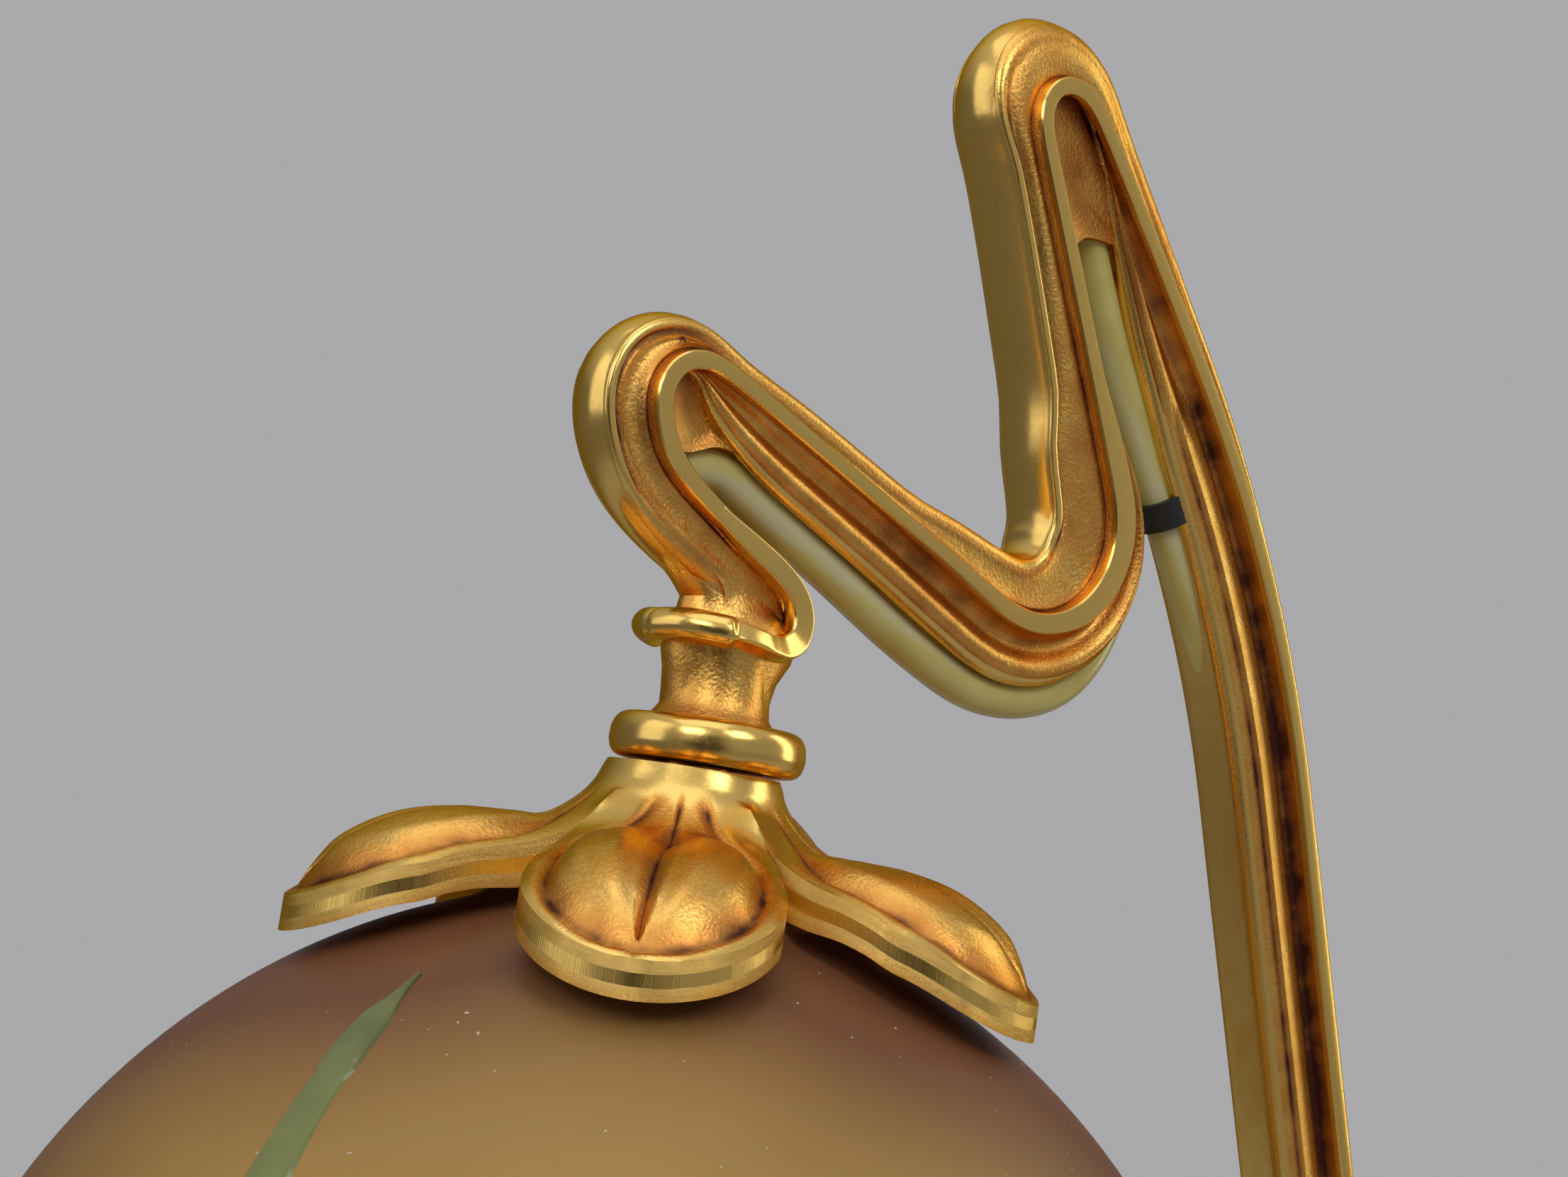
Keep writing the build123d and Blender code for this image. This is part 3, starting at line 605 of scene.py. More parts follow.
def tube_along(name, centres, radii, place, sides=20, values=None, flats=None, square=1.0):
    """A bead along a line of spots, with its own radius, flat half width and squareness at each."""
    centres = np.array(centres, float)
    radii = np.broadcast_to(np.asarray(radii, float), (len(centres),))
    flats = radii if flats is None else flats
    square = np.broadcast_to(np.asarray(square, float), (len(centres),))
    ways = headings(centres)
    side = np.array([0.0, 1.0, 0.0]) if abs(ways[0][1]) < 0.9 else np.array([1.0, 0.0, 0.0])
    rings = []
    turn = np.linspace(0, tau, sides, endpoint=False)[:, None]
    for centre, way, radius, flat, power in zip(centres, ways, radii, flats, square):
        side = side - way * (side @ way)
        side /= np.linalg.norm(side)
        other = np.cross(way, side)
        out = np.sign(np.cos(turn)) * np.abs(np.cos(turn)) ** power
        along = np.sign(np.sin(turn)) * np.abs(np.sin(turn)) ** power
        rings.append(centre + radius * side * out + flat * other * along)
    rings = closed_ends(np.array(rings))
    spread = {k: np.full(rings.shape[:2], v) for k, v in (values or {}).items()}
    return lofted(name, rings, place, spread)


def joined(piece, *others, operation="UNION"):
    """Boolean of closed pieces, which takes the others away."""
    for other in others:
        activate(piece)
        modifier = piece.modifiers.new("fuse", "BOOLEAN")
        modifier.operation = operation
        modifier.solver = "MANIFOLD"
        modifier.object = other
        bpy.ops.object.modifier_apply(modifier=modifier.name)
        bpy.data.objects.remove(other)
        if not piece.data.polygons:
            raise RuntimeError(f"{piece.name} has no faces left")
    return piece


def finished(piece, body, material, replaces=(), smooth=radians(35)):
    """Smooths a piece, gives it its finish and hangs it on its body."""
    activate(piece)
    bpy.ops.object.shade_smooth_by_angle(angle=smooth)
    piece.data.materials.clear()
    piece.data.materials.append(material)
    if replaces:
        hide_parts(*replaces)
    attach(piece, body)
    return piece


# Materials

# Roughness of the gilding against its patina, and clouds of patina on the foot
GILT_ROUGHNESS = ((0.04, 0.2), (0.25, 0.31), (0.6, 0.33), (1.0, 0.55))
FOOT_TARNISH = 0.5

# Colours of the lead's sheath: light, deep, and where a wire shows through
SHEATH_LIGHT = (0.88, 0.80, 0.30)
SHEATH_DEEP = (0.78, 0.66, 0.17)
SHEATH_STREAK = (0.90, 0.86, 0.56)

# Colours of its wires, light and dark
STRAND_LIGHT = (0.84, 0.80, 0.56)
STRAND_DARK = (0.68, 0.62, 0.34)

# Colours of the specks in the satin glass, and of the bulb's glass, clear and hazy
SPECK = (0.7, 0.62, 0.5)
BULB_CLEAR = (0.98, 0.98, 0.97)
BULB_HAZE = (0.90, 0.91, 0.90)


def fill(tree, made, inputs):
    """Gives a node's inputs their values, or links them to other nodes' outputs."""
    for name, value in inputs.items():
        if isinstance(value, bpy.types.NodeSocket):
            tree.links.new(value, made.inputs[name])
        else:
            made.inputs[name].default_value = value


def node(tree, kind, inputs=None, **settings):
    """A shader node with its settings and inputs."""
    made = tree.nodes.new(kind)
    for name, value in settings.items():
        setattr(made, name, value)
    fill(tree, made, inputs or {})
    return made


def mixed(tree, factor, first, second):
    """Colour between two others, each a colour or another node's output."""
    made = node(tree, "ShaderNodeMix", {0: factor}, data_type="RGBA")
    for index, tone in ((6, first), (7, second)):
        linked = isinstance(tone, bpy.types.NodeSocket)
        fill(tree, made, {index: tone if linked else (*tone, 1)})
    return made.outputs[2]


def banded(tree, factor, stops):
    """Colour read off a band of stops, each with its place and colour."""
    made = node(tree, "ShaderNodeValToRGB", {"Fac": factor})
    band = made.color_ramp.elements
    for place, _ in stops[1:-1]:
        band.new(place)
    for element, (place, tone) in zip(band, stops):
        element.position = place
        element.color = (*tone, 1)
    return made.outputs[0]


def sums(tree, operation, first, second, clamp=False):
    """Arithmetic on two numbers."""
    made = node(tree, "ShaderNodeMath", {0: first, 1: second}, operation=operation, use_clamp=clamp)
    return made.outputs[0]


def ranged(tree, value, low, high, start=0.0, end=1.0, kind="LINEAR"):
    """A number carried from one range to another."""
    inputs = {"Value": value, "From Min": low, "From Max": high, "To Min": start, "To Max": end}
    return node(tree, "ShaderNodeMapRange", inputs, interpolation_type=kind).outputs[0]


def noise(tree, vector, scale, detail=3.0, roughness=0.5):
    """Noise value at a scale, in features per metre."""
    inputs = {"Vector": vector, "Scale": scale, "Detail": detail, "Roughness": roughness}
    return node(tree, "ShaderNodeTexNoise", inputs).outputs["Fac"]


def stored(tree, name):
    """A number stored on the piece's vertices."""
    return node(tree, "ShaderNodeAttribute", attribute_name=name).outputs["Fac"]


def bumped(tree, height, strength, distance):
    """Normals roughened by a height, over a distance in millimetres."""
    inputs = {"Height": height, "Strength": strength, "Distance": distance * MM}
    return node(tree, "ShaderNodeBump", inputs).outputs[0]


def fresh_material(name):
    """A new material with its Principled shader and object coordinates."""
    material = bpy.data.materials.new(name)
    material.use_nodes = True
    tree = material.node_tree
    shader = tree.nodes["Principled BSDF"]
    where = node(tree, "ShaderNodeTexCoord").outputs["Object"]
    return material, tree, shader, where


def grain_group():
    """Node group: fine cast grain and broad cloudiness, shared by the metals and dull stuffs."""
    group = bpy.data.node_groups.new("cast grain", "ShaderNodeTree")
    for name, kind in (
        ("Vector", "NodeSocketVector"),
        ("Grain scale", "NodeSocketFloat"),
        ("Cloud scale", "NodeSocketFloat"),
    ):
        group.interface.new_socket(name, in_out="INPUT", socket_type=kind)
    for name in ("Grain", "Cloud"):
        group.interface.new_socket(name, in_out="OUTPUT", socket_type="NodeSocketFloat")
    given = group.nodes.new("NodeGroupInput").outputs
    out = group.nodes.new("NodeGroupOutput")
    fine = node(group, "ShaderNodeTexNoise", {"Vector": given[0], "Scale": given[1], "Detail": 4.0})
    broad = node(group, "ShaderNodeTexNoise", {"Vector": given[0], "Scale": given[2], "Detail": 5.0})
    fill(group, out, {"Grain": fine.outputs["Fac"], "Cloud": broad.outputs["Fac"]})


def grain(tree, where, fine, broad):
    """The shared grain, at this material's scales."""
    made = node(tree, "ShaderNodeGroup", node_tree=bpy.data.node_groups["cast grain"])
    fill(tree, made, {"Vector": where, "Grain scale": fine, "Cloud scale": broad})
    return made.outputs["Grain"], made.outputs["Cloud"]


def gilt_bronze(name, tarnish=0.0):
    """Gilded casting: burnished crests, frosted gilding, copper grooves and dark patina.

    The patina is stored on the casting, and tarnish adds broad clouds of it."""
    look = bpy.context.scene.lamp_finish
    material, tree, shader, where = fresh_material(name)
    wear = stored(tree, "patina")
    if tarnish:
        clouds = ranged(tree, noise(tree, where, 38.0, 5.0, 0.6), 0.3, 0.7, 0.0, tarnish)
        wear = sums(tree, "ADD", wear, clouds)
    fine, cloud = grain(tree, where, 2600.0, 260.0)
    drift = ranged(tree, cloud, 0.25, 0.75, -0.2, 0.2)
    drift = sums(tree, "ADD", drift, ranged(tree, noise(tree, where, 75.0, 2.0), 0.3, 0.7, -0.12, 0.14))
    drift = sums(tree, "MULTIPLY", drift, ranged(tree, wear, 0.0, 0.3, 0.25, 1.0))
    worn = sums(tree, "ADD", wear, drift, clamp=True)
    stops = ((0.06, look.polished), (0.32, look.matte), (0.62, look.copper), (1.0, look.patina))
    gilding = banded(tree, worn, stops)
    rough = banded(tree, worn, [(place, (value,) * 3) for place, value in GILT_ROUGHNESS])
    smear = ranged(tree, fine, 0.3, 0.7, -0.03, 0.05)
    marks = stored(tree, "file_run")
    strokes = {"W": marks, "Scale": 1.0, "Detail": 4.0}
    files = node(tree, "ShaderNodeTexNoise", strokes, noise_dimensions="1D").outputs["Fac"]
    filed = sums(tree, "MULTIPLY", files, ranged(tree, marks, 0.5, 1.0))
    pitted = sums(tree, "MULTIPLY", fine, ranged(tree, wear, 0.05, 0.35, 0.05, 1.0))
    height = sums(tree, "ADD", pitted, sums(tree, "MULTIPLY", filed, 0.35))
    frosted = ranged(tree, wear, 0.1, 0.3)
    speckle = sums(tree, "MULTIPLY", ranged(tree, fine, 0.42, 0.6, 0.45, 0.0), frosted)
    speckle = sums(tree, "MULTIPLY", speckle, ranged(tree, wear, 0.5, 0.7, 1.0, 0.0))
    dressing = {
        "Base Color": mixed(tree, speckle, gilding, look.copper),
        "Roughness": sums(tree, "ADD", rough, smear),
        "Normal": bumped(tree, height, 0.6, 0.14),
        "Metallic": 1.0,
        "Specular Tint": (*look.polished, 1),
    }
    fill(tree, shader, dressing)
    return material


def plain_metal(name, bright, dull, roughness, fine=1800.0):
    """Turned or plated metal with cloudy tarnish and a fine grain."""
    material, tree, shader, where = fresh_material(name)
    grit, cloud = grain(tree, where, fine, 180.0)
    dressing = {
        "Base Color": mixed(tree, ranged(tree, cloud, 0.35, 0.7), bright, dull),
        "Roughness": ranged(tree, cloud, 0.3, 0.7, roughness * 0.8, roughness * 1.3),
        "Normal": bumped(tree, grit, 0.15, 0.05),
        "Metallic": 1.0,
    }
    fill(tree, shader, dressing)
    return material


def dull_stuff(name, light, dark, roughness, scale, depth, sheen=0.0):
    """Rubber, felt, cork, porcelain and the like: two tones and a grain."""
    material, tree, shader, where = fresh_material(name)
    grit, cloud = grain(tree, where, scale, scale / 12)
    dressing = {
        "Base Color": mixed(tree, ranged(tree, cloud, 0.3, 0.7), light, dark),
        "Roughness": ranged(tree, grit, 0.2, 0.8, roughness * 0.85, min(1.0, roughness * 1.15)),
        "Normal": bumped(tree, grit, 0.5, depth),
        "Sheen Weight": sheen,
    }
    fill(tree, shader, dressing)
    return material


def satin_glass():
    """Frosted amber glass, rose-brown at its shoulder, with a few specks. Towards its silhouette the
    darker rose-brown is painted edge shade, set by the angle it is seen at.
    """
    look = bpy.context.scene.lamp_finish
    material, tree, shader, where = fresh_material("satin amber glass")
    fine, cloud = grain(tree, where, 3200.0, 22.0)
    # Painted edge shade: the glass is coloured darker rose-brown where it is seen edge-on
    edge = node(tree, "ShaderNodeLayerWeight", {"Blend": 0.5}).outputs["Facing"]
    edge_shade_painted = ranged(tree, edge, 0.30, 0.85, 0.0, 0.85)
    drift = ranged(tree, cloud, 0.3, 0.7, -0.12, 0.12)
    rose_and_edge_shade = sums(tree, "ADD", stored(tree, "rose"), edge_shade_painted)
    tone = mixed(tree, sums(tree, "ADD", rose_and_edge_shade, drift, clamp=True), look.amber, look.rose)
    dots = ranged(tree, noise(tree, where, 1500.0, 0.0), 0.86, 0.89)
    dressing = {
        "Base Color": mixed(tree, dots, tone, SPECK),
        "Roughness": ranged(tree, fine, 0.3, 0.7, 0.40, 0.50),
        "Normal": bumped(tree, fine, 0.1, 0.05),
        "Transmission Weight": 0.15,
        "Specular IOR Level": 0.3,
        "IOR": 1.46,
    }
    fill(tree, shader, dressing)
    return material


def cut_glass():
    """Polished green glass of the cut stems, paler towards the foot of each."""
    look = bpy.context.scene.lamp_finish
    material, tree, shader, where = fresh_material("cut green glass")
    cloud = noise(tree, where, 90.0, 3.0)
    drift = ranged(tree, cloud, 0.3, 0.7, -0.2, 0.2)
    pale = sums(tree, "ADD", stored(tree, "fall"), drift, clamp=True)
    dark = [c * 0.45 for c in look.leaf_green]
    light = [min(1.0, c * 1.5) for c in look.leaf_green]
    dressing = {
        "Base Color": mixed(tree, pale, dark, light),
        "Roughness": ranged(tree, cloud, 0.3, 0.7, 0.04, 0.1),
        "Transmission Weight": 0.3,
        "IOR": 1.52,
    }
    fill(tree, shader, dressing)
    return material


def clear_sheath():
    """Yellowed clear sheath of the lead, paler where a wire shows through."""
    material, tree, shader, where = fresh_material("yellowed clear sheath")
    cloud = noise(tree, where, 160.0, 4.0)
    tone = mixed(tree, ranged(tree, cloud, 0.3, 0.7), SHEATH_LIGHT, SHEATH_DEEP)
    drift = ranged(tree, cloud, 0.3, 0.7, -0.25, 0.25)
    showing = ranged(tree, sums(tree, "ADD", stored(tree, "wires"), drift), 0.6, 1.0, 0.0, 0.7)
    dressing = {
        "Base Color": mixed(tree, showing, tone, SHEATH_STREAK),
        "Roughness": ranged(tree, cloud, 0.3, 0.7, 0.10, 0.20),
        "Transmission Weight": 0.3,
        "IOR": 1.5,
    }
    fill(tree, shader, dressing)
    return material


def bulb_glass():
    """Clear bulb glass with a faint haze."""
    material, tree, shader, where = fresh_material("clear bulb glass")
    cloud = noise(tree, where, 40.0, 4.0)
    dressing = {
        "Base Color": mixed(tree, cloud, BULB_CLEAR, BULB_HAZE),
        "Roughness": ranged(tree, cloud, 0.3, 0.7, 0.02, 0.08),
        "Transmission Weight": 1.0,
        "IOR": 1.5,
    }
    fill(tree, shader, dressing)
    return material


# Whip: stem and arm, neck, ring and scroll collar


def off_zero(patina):
    """Patina as it is stored, between its floor and 1."""
    return PATINA_FLOOR + (1 - PATINA_FLOOR) * patina


def whip_line():
    """Points of the whip line one step apart, and where along it each corner lies."""
    line = eased(filleted(list(WHIP_CORNERS.values()), WHIP_BENDS), LINE_EASE)
    marks = {}
    for name, corner in WHIP_CORNERS.items():
        marks[name] = int(np.argmin(np.linalg.norm(line - np.array(corner), axis=1)))
    return line, marks


def section_along(count, marks):
    """The section's sizes at each step of the line."""
    places = [marks[key[0]] + key[1] / LINE_STEP for key in SECTION_KEYS]
    columns = np.array([key[2:] for key in SECTION_KEYS])
    steps = np.arange(count)
    sizes = np.stack([np.interp(steps, places, column) for column in columns.T], 1)
    return eased(sizes, KEY_EASE)


def crown_spots(arris_u, arris_v, rise, soft):
    """Crown from its middle out to the arris."""
    edge = np.maximum(arris_v - 0.6 - soft, 0.2)
    return [
        (arris_u + rise * (1 - t * t), edge * t, 0.2 * soft * t * t) for t in np.linspace(0, 1, 9)
    ]


def arris_spots(arris_u, arris_v, notch, sharp):
    """Arris: a sharp edge over a dark notch, a soft roll, or anything between the two."""
    soft = 1 - sharp
    angles = np.radians(np.linspace(26, 88, len(ARRIS_FACE)))
    spots = []
    for (u, v, cut, patina), angle in zip(ARRIS_FACE, angles):
        round_u = 0.3 - ROLL * (1 - cos(angle))
        round_v = ROLL * (sin(angle) - 1)
        spots.append(
            (
                arris_u + sharp * u + soft * round_u,
                arris_v + sharp * (v - notch * cut) + soft * round_v,
                sharp * patina + soft * (0.22 + 0.14 * sin(angle)),
            )
        )
    return spots


def groove_spots(arris_u, arris_v, notch, sharp, lip, lip_v, belly):
    """Broad groove from the arris down to the lip."""
    top, bottom = arris_u - 2.0 - 0.3 * (1 - sharp), lip + 0.55
    high, low = arris_v - 0.12 * sharp - notch * 0.75, lip_v - 1.5
    spots = []
    for t in np.linspace(0, 1, 11):
        across = (1 - t) * high + t * low + belly * 4 * t * (1 - t)
        spots.append(((1 - t) * top + t * bottom, across, 0.34 + 0.29 * t**6))
    return spots


def lip_spots(lip, lip_in, lip_v):
    """Raised lip, with a dark line at its root on both sides."""
    return [
        (lip + 0.26, lip_v - 1.62, 0.9),
        (lip + 0.06, lip_v - 1.3, 0.5),
        (lip + 0.02, lip_v - 0.6, 0.1),
        (lip - 0.03, lip_v - 0.24, 0.0),
        (lip - 0.22, lip_v - 0.04, 0.0),
        (lip * 0.4, lip_v, 0.0),
        (-lip_in * 0.4, lip_v, 0.0),
        (-lip_in + 0.22, lip_v - 0.04, 0.0),
        (-lip_in + 0.03, lip_v - 0.24, 0.0),
        (-lip_in, lip_v - 0.6, 0.1),
        (-lip_in - 0.05, lip_v - 1.1, 0.7),
    ]


def core_spots(core, depth, lip_in, lip_v, hollow):
    """Side of the core under the lip, or of the pocket where the inner side is hollowed."""
    reach = depth - lip_in - 0.4
    stem = ramp(depth, 8.0, 9.4)
    spots = []
    for k, (arm_swell, arm_tone, stem_swell, stem_tone) in enumerate(CORE_FACE):
        t = (k + 0.5) / len(CORE_FACE)
        swell = between(arm_swell, stem_swell, stem) * np.clip(reach / 4, 0, 1)
        tone = between(arm_tone, stem_tone, stem)
        spots.append(
            (
                between(-lip_in - 0.25 - reach * t * 0.9, -lip_in * 0.8 + 2.6 * t**0.7, hollow),
                between(core + swell, (lip_v - 1.1) * (1 - 0.55 * t), hollow),
                between(tone, 0.62 + 0.3 * (1 - t), hollow),
            )
        )
    return spots


def inner_spots(core, depth, lip_v, hollow, lead):
    """Inner side, from the core's rounded edge to the middle, with room for the lead."""
    spots = []
    for t in np.linspace(0, 1, 9):
        if t <= 0.5:
            angle = radians(80) * (t / 0.5)
            u = -depth + EDGE_R * (1 - sin(angle))
            v = core - 0.15 - EDGE_R * (1 - cos(angle))
        else:
            u = -depth
            v = (core - 1.3) * (1 - t) / 0.5
        room = np.sqrt(np.maximum(LEAD_ROOM**2 - v**2, 0))
        clear = np.where(np.abs(v) < LEAD_ROOM, room - lead, -NO_LEAD)
        pocket_u = 1.0 + 0.45 * t
        pocket_v = (lip_v - 1.1) * 0.42 * (1 - t)
        spots.append(
            (
                np.maximum(between(np.maximum(u, clear), pocket_u, hollow), np.minimum(clear, 2.6)),
                between(v, pocket_v, hollow),
                0.1 + 0.6 * hollow,
            )
        )
    return spots


def half_section(sizes, lip, core, lead):
    """Half outline of the whip from the middle of its crown to the middle of its inner side.

    Gives (outwards, across, patina) for each spot, at every station at once."""
    arris_u, arris_v, rise, lip_v, lip_in, belly, depth, hollow, sharp = sizes.T
    soft = 1 - sharp
    notch = NOTCH_DEEP * sharp
    arris_u = arris_u + ROLL_OUT * soft
    spots = [
        *crown_spots(arris_u, arris_v, rise, soft),
        *arris_spots(arris_u, arris_v, notch, sharp),
        *groove_spots(arris_u, arris_v, notch, sharp, lip, lip_v, belly),
        *lip_spots(lip, lip_in, lip_v),
        *core_spots(core, depth, lip_in, lip_v, hollow),
        *inner_spots(core, depth, lip_v, hollow, lead),
    ]
    zero = np.zeros(len(sizes))
    return [np.stack([part + zero for part in spot], 1) for spot in spots]


def stations(line):
    """Steps to keep along a line: close together in its bends, far apart on its runs."""
    way = np.gradient(line, axis=0)
    heading = np.unwrap(np.arctan2(way[:, 1], way[:, 0]))
    bend = eased(np.abs(np.gradient(heading)) / LINE_STEP, STATION_EASE)
    pace = LINE_STEP / np.clip(STATION_TURN / np.maximum(bend, 1e-6), *STATION_GAPS)
    return np.unique(np.searchsorted(np.cumsum(pace), np.arange(0, pace.sum(), 1.0)))


def lead_depth(line, ways, route):
    """How far inside the whip line the lead runs at each step, or far off where it doesn't."""
    outer = np.stack([ways[:, 1], -ways[:, 0]], 1)
    depth = np.full(len(line), NO_LEAD)
    for k in range(len(line)):
        offset = route - line[k]
        near = np.abs(offset @ ways[k]) < LEAD_NEAR
        inside = -(offset[near] @ outer[k])
        inside = inside[(inside > LEAD_SPAN[0]) & (inside < LEAD_SPAN[1])]
        if len(inside):
            depth[k] = inside.min()
    return depth


def whip_body(settings):
    """The long casting with its lips, grooves, cores and hollows."""
    line, marks = whip_line()
    ways = headings(line)
    sizes = section_along(len(line), marks)
    lead = lead_depth(line, ways, lead_centres()[:, (0, 2)])
    stem = np.arange(len(line)) < marks["hairpin"] - LEAD_OUT / LINE_STEP
    lead = eased(np.where(stem, NO_LEAD, np.minimum(lead, LEAD_DEEP)), LEAD_EASE)
    keep = stations(line)
    half = half_section(sizes[keep], settings.lip / MM, settings.core / MM, lead[keep])
    ring = half + [spot * (1, -1, 1) for spot in half[-2:0:-1]]
    ring = np.stack(ring, 1)
    out = np.stack([ways[keep][:, 1], -ways[keep][:, 0]], 1)
    spots = np.empty((len(keep), ring.shape[1], 3))
    spots[..., 0] = line[keep][:, None, 0] + ring[..., 0] * out[:, None, 0]
    spots[..., 1] = ring[..., 1]
    spots[..., 2] = line[keep][:, None, 1] + ring[..., 0] * out[:, None, 1]
    patina = np.concatenate([ring[:1, :, 2], ring[..., 2], ring[-1:, :, 2]])
    return lofted("whip_stem_gilt", closed_ends(spots), ARM, {"patina": off_zero(patina)})


def neck_body(settings):
    """Neck and ring, turned about the head axis: a burnished ring, and a frosted neck that is
    darkest where it meets the ring."""
    rim = [(settings.ring / MM - inset, height) for inset, height in RING_RIM]
    outline = [*rounded(rim, 26), (7.8, 5.5), *rounded(NECK_OUTLINE, 14)]
    spots = np.array([(0.0, 0.3), *outline, (3.0, 16.6), (0.0, 16.8)])
    height = spots[:, 1]
    stain = 0.2 * np.exp(-((height - 5.9) / 0.8) ** 2)
    patina = np.where(height > 5.45, NECK_TONE + stain, RING_TONE)
    return turned("neck_ring", spots, HEAD @ Matrix.Translation(RING_OFF), 96, {"patina": patina})


def scroll_bead(side):
    """Lip that runs down the leg as a flat band, swings round and wraps the neck as its collar."""
    centres = rounded(np.array(SCROLL_PATH) * (1, side, 1), SCROLL_STEPS)
    run = np.linspace(0, 1, SCROLL_STEPS)
    step = ramp(run, *COLLAR_START)
    flats = 0.8 + 0.5 * ramp(run, 0.0, 0.25) + 0.15 * ramp(run, 0.36, 0.46)
    flats = flats - 0.3 * ramp(run, 0.53, 0.65) + 0.65 * step
    radii = 0.9 + 0.1 * ramp(run, 0.0, 0.25) + 0.75 * step
    close = 1 - 0.45 * ramp(run, *COLLAR_END)
    radii, flats = radii * close, flats * close
    values = {"patina": LIP_TONE}
    return tube_along(f"scroll_{side}", centres, radii, ARM, 32, values, flats, 0.25 + 0.7 * step)


def neck_swell():
    """Swelling of the neck towards the scroll, under the collar."""
    turn = np.linspace(0, tau, 48, endpoint=False)
    rings = []
    for height, middle, along, across in NECK_SWELL:
        ring = [middle + along * np.cos(turn), across * np.sin(turn), np.full(len(turn), height)]
        rings.append(np.stack(ring, 1))
    rings = closed_ends(np.array(rings))
    return lofted("neck_swell", rings, ARM, {"patina": np.full(rings.shape[:2], SWELL_TONE)})


def wall_plate(name):
    """Recessed wall of the casting, hollowed on both faces."""
    corners, half, hollow, tones = WALLS[name]
    outline = rounded([*corners, corners[0]], 60)[:-1]
    middle = outline.mean(axis=0)
    insets = ((0.25, 1.0), (0.5, 0.85), (0.75, 0.5), (0.9, 0.15), (1.0, 0.0))
    rings = []
    for side in (1, -1):
        for share, dip in insets[::side]:
            spots = middle + (outline - middle) * share
            across = np.full(len(spots), side * (half - hollow * dip))
            rings.append(np.stack([spots[:, 0], across, spots[:, 1]], 1))
    rings = closed_ends(np.array(rings))
    # Colour runs from darker at the wall's top to lighter at its bottom
    high = np.interp(rings[..., 2], (outline[:, 1].min(), outline[:, 1].max()), tones[::-1])
    return lofted(f"{name}_wall", rings, ARM, {"patina": high})


def root_body():
    """Flare of the stem where it stands on the foot."""
    spots = np.array([(0.0, 0.0), *rounded(ROOT_OUTLINE, 20), (0.0, ROOT_OUTLINE[-1][1])])
    spots[:, 1] += foot_top
    patina = np.full(len(spots), 0.05)
    return turned("stem_root", spots, FOOT, 72, {"patina": patina})


def mend_patina(piece):
    """Gives the vertices that a boolean made the patina of their neighbours."""
    layer = piece.data.attributes["patina"].data
    values = np.empty(len(layer), np.float32)
    layer.foreach_get("value", values)
    edges = np.empty(len(piece.data.edges) * 2, np.int32)
    piece.data.edges.foreach_get("vertices", edges)
    a, b = edges[0::2], edges[1::2]
    for _ in range(3):
        empty = values < PATINA_FLOOR / 2
        total, count = np.zeros(len(values)), np.zeros(len(values))
        for near, far in ((a, b), (b, a)):
            good = ~empty[far]
            np.add.at(total, near[good], values[far[good]])
            np.add.at(count, near[good], 1)
        fill = empty & (count > 0)
        values[fill] = (total[fill] / count[fill]).astype(np.float32)
    layer.foreach_set("value", values)


class LAMP_OT_whip(bpy.types.Operator):
    """Models stem, whiplash arm, neck, ring and collar as one gilt casting"""

    bl_idname = "lamp.whip"
    bl_label = "Whip Stem"

    def execute(self, context):
        settings = context.scene.lamp_whip
        whip = whip_body(settings)
        joined(whip, neck_body(settings), root_body())
        joined(whip, neck_swell(), *(wall_plate(name) for name in WALLS))
        joined(whip, scroll_bead(-1), scroll_bead(1))
        mend_patina(whip)
        tidy(whip, merge=1e-6)
        finished(whip, "stand", bpy.data.materials["gilt bronze"], ("whip_stem",))
        return {"FINISHED"}


# Lead in the arm


def lead_centres():
    """Points along the lead's line, read from a spline with the route as its control points."""
    curve = bpy.data.curves.new("lead line", "CURVE")
    curve.dimensions = "3D"
    curve.resolution_u = 12
    spline = curve.splines.new("NURBS")
    spline.points.add(len(FLEX_ROUTE) - 1)
    for point, (x, z) in zip(spline.points, FLEX_ROUTE):
        point.co = (x, 0.0, z, 1.0)
    spline.order_u = 3
    spline.use_endpoint_u = True
    holder = bpy.data.objects.new("lead line", curve)
    bpy.context.scene.collection.objects.link(holder)
    mesh = bpy.data.meshes.new_from_object(holder)
    spots = np.array([vertex.co for vertex in mesh.vertices])
    bpy.data.objects.remove(holder)
    bpy.data.curves.remove(curve)
    bpy.data.meshes.remove(mesh)
    return spots


class LAMP_OT_lead(bpy.types.Operator):
    """Models the clear lead and the two wires inside it"""

    bl_idname = "lamp.lead"
    bl_label = "Lead"

    def execute(self, context):
        centres = lead_centres()
        ways = headings(centres)
        run = run_along(centres)
        twist = np.concatenate([run[:1], run, run[-1:]])[:, None] / LEAD_TWIST * tau
        around = np.linspace(0, tau, LEAD_SIDES, endpoint=False)
        wires = {"wires": 0.5 + 0.5 * np.cos(2 * (around + twist))}
        sheath = tube_along("arm_flex_sheath", centres, LEAD_R, ARM, LEAD_SIDES, wires)
        finished(sheath, "stand", clear_sheath(), ("arm_flex",))
        across = np.array([0.0, 1.0, 0.0])
        flat = np.stack([ways[:, 2], np.zeros(len(ways)), -ways[:, 0]], 1)
        strand = dull_stuff("pale strands", STRAND_LIGHT, STRAND_DARK, 0.5, 1800, 0.05)
        for k in range(2):
            turn = (run / LEAD_TWIST * tau + k * pi)[:, None]
            wire = centres + WIRE_OFF * (across * np.cos(turn) + flat * np.sin(turn))
            piece = tube_along(f"arm_flex_wire_{k + 1}", wire[2:-2], WIRE_R, ARM, 12)
            finished(piece, "stand", strand)
        return {"FINISHED"}


# Calyx with five petals

# Cap: bore, edge of its flat top, thickness, and where one petal parts from the next
BORE_R = 4.1
CAP_R = 9.7
CAP_THICK = 9.0
NOTCH_R = 15.5

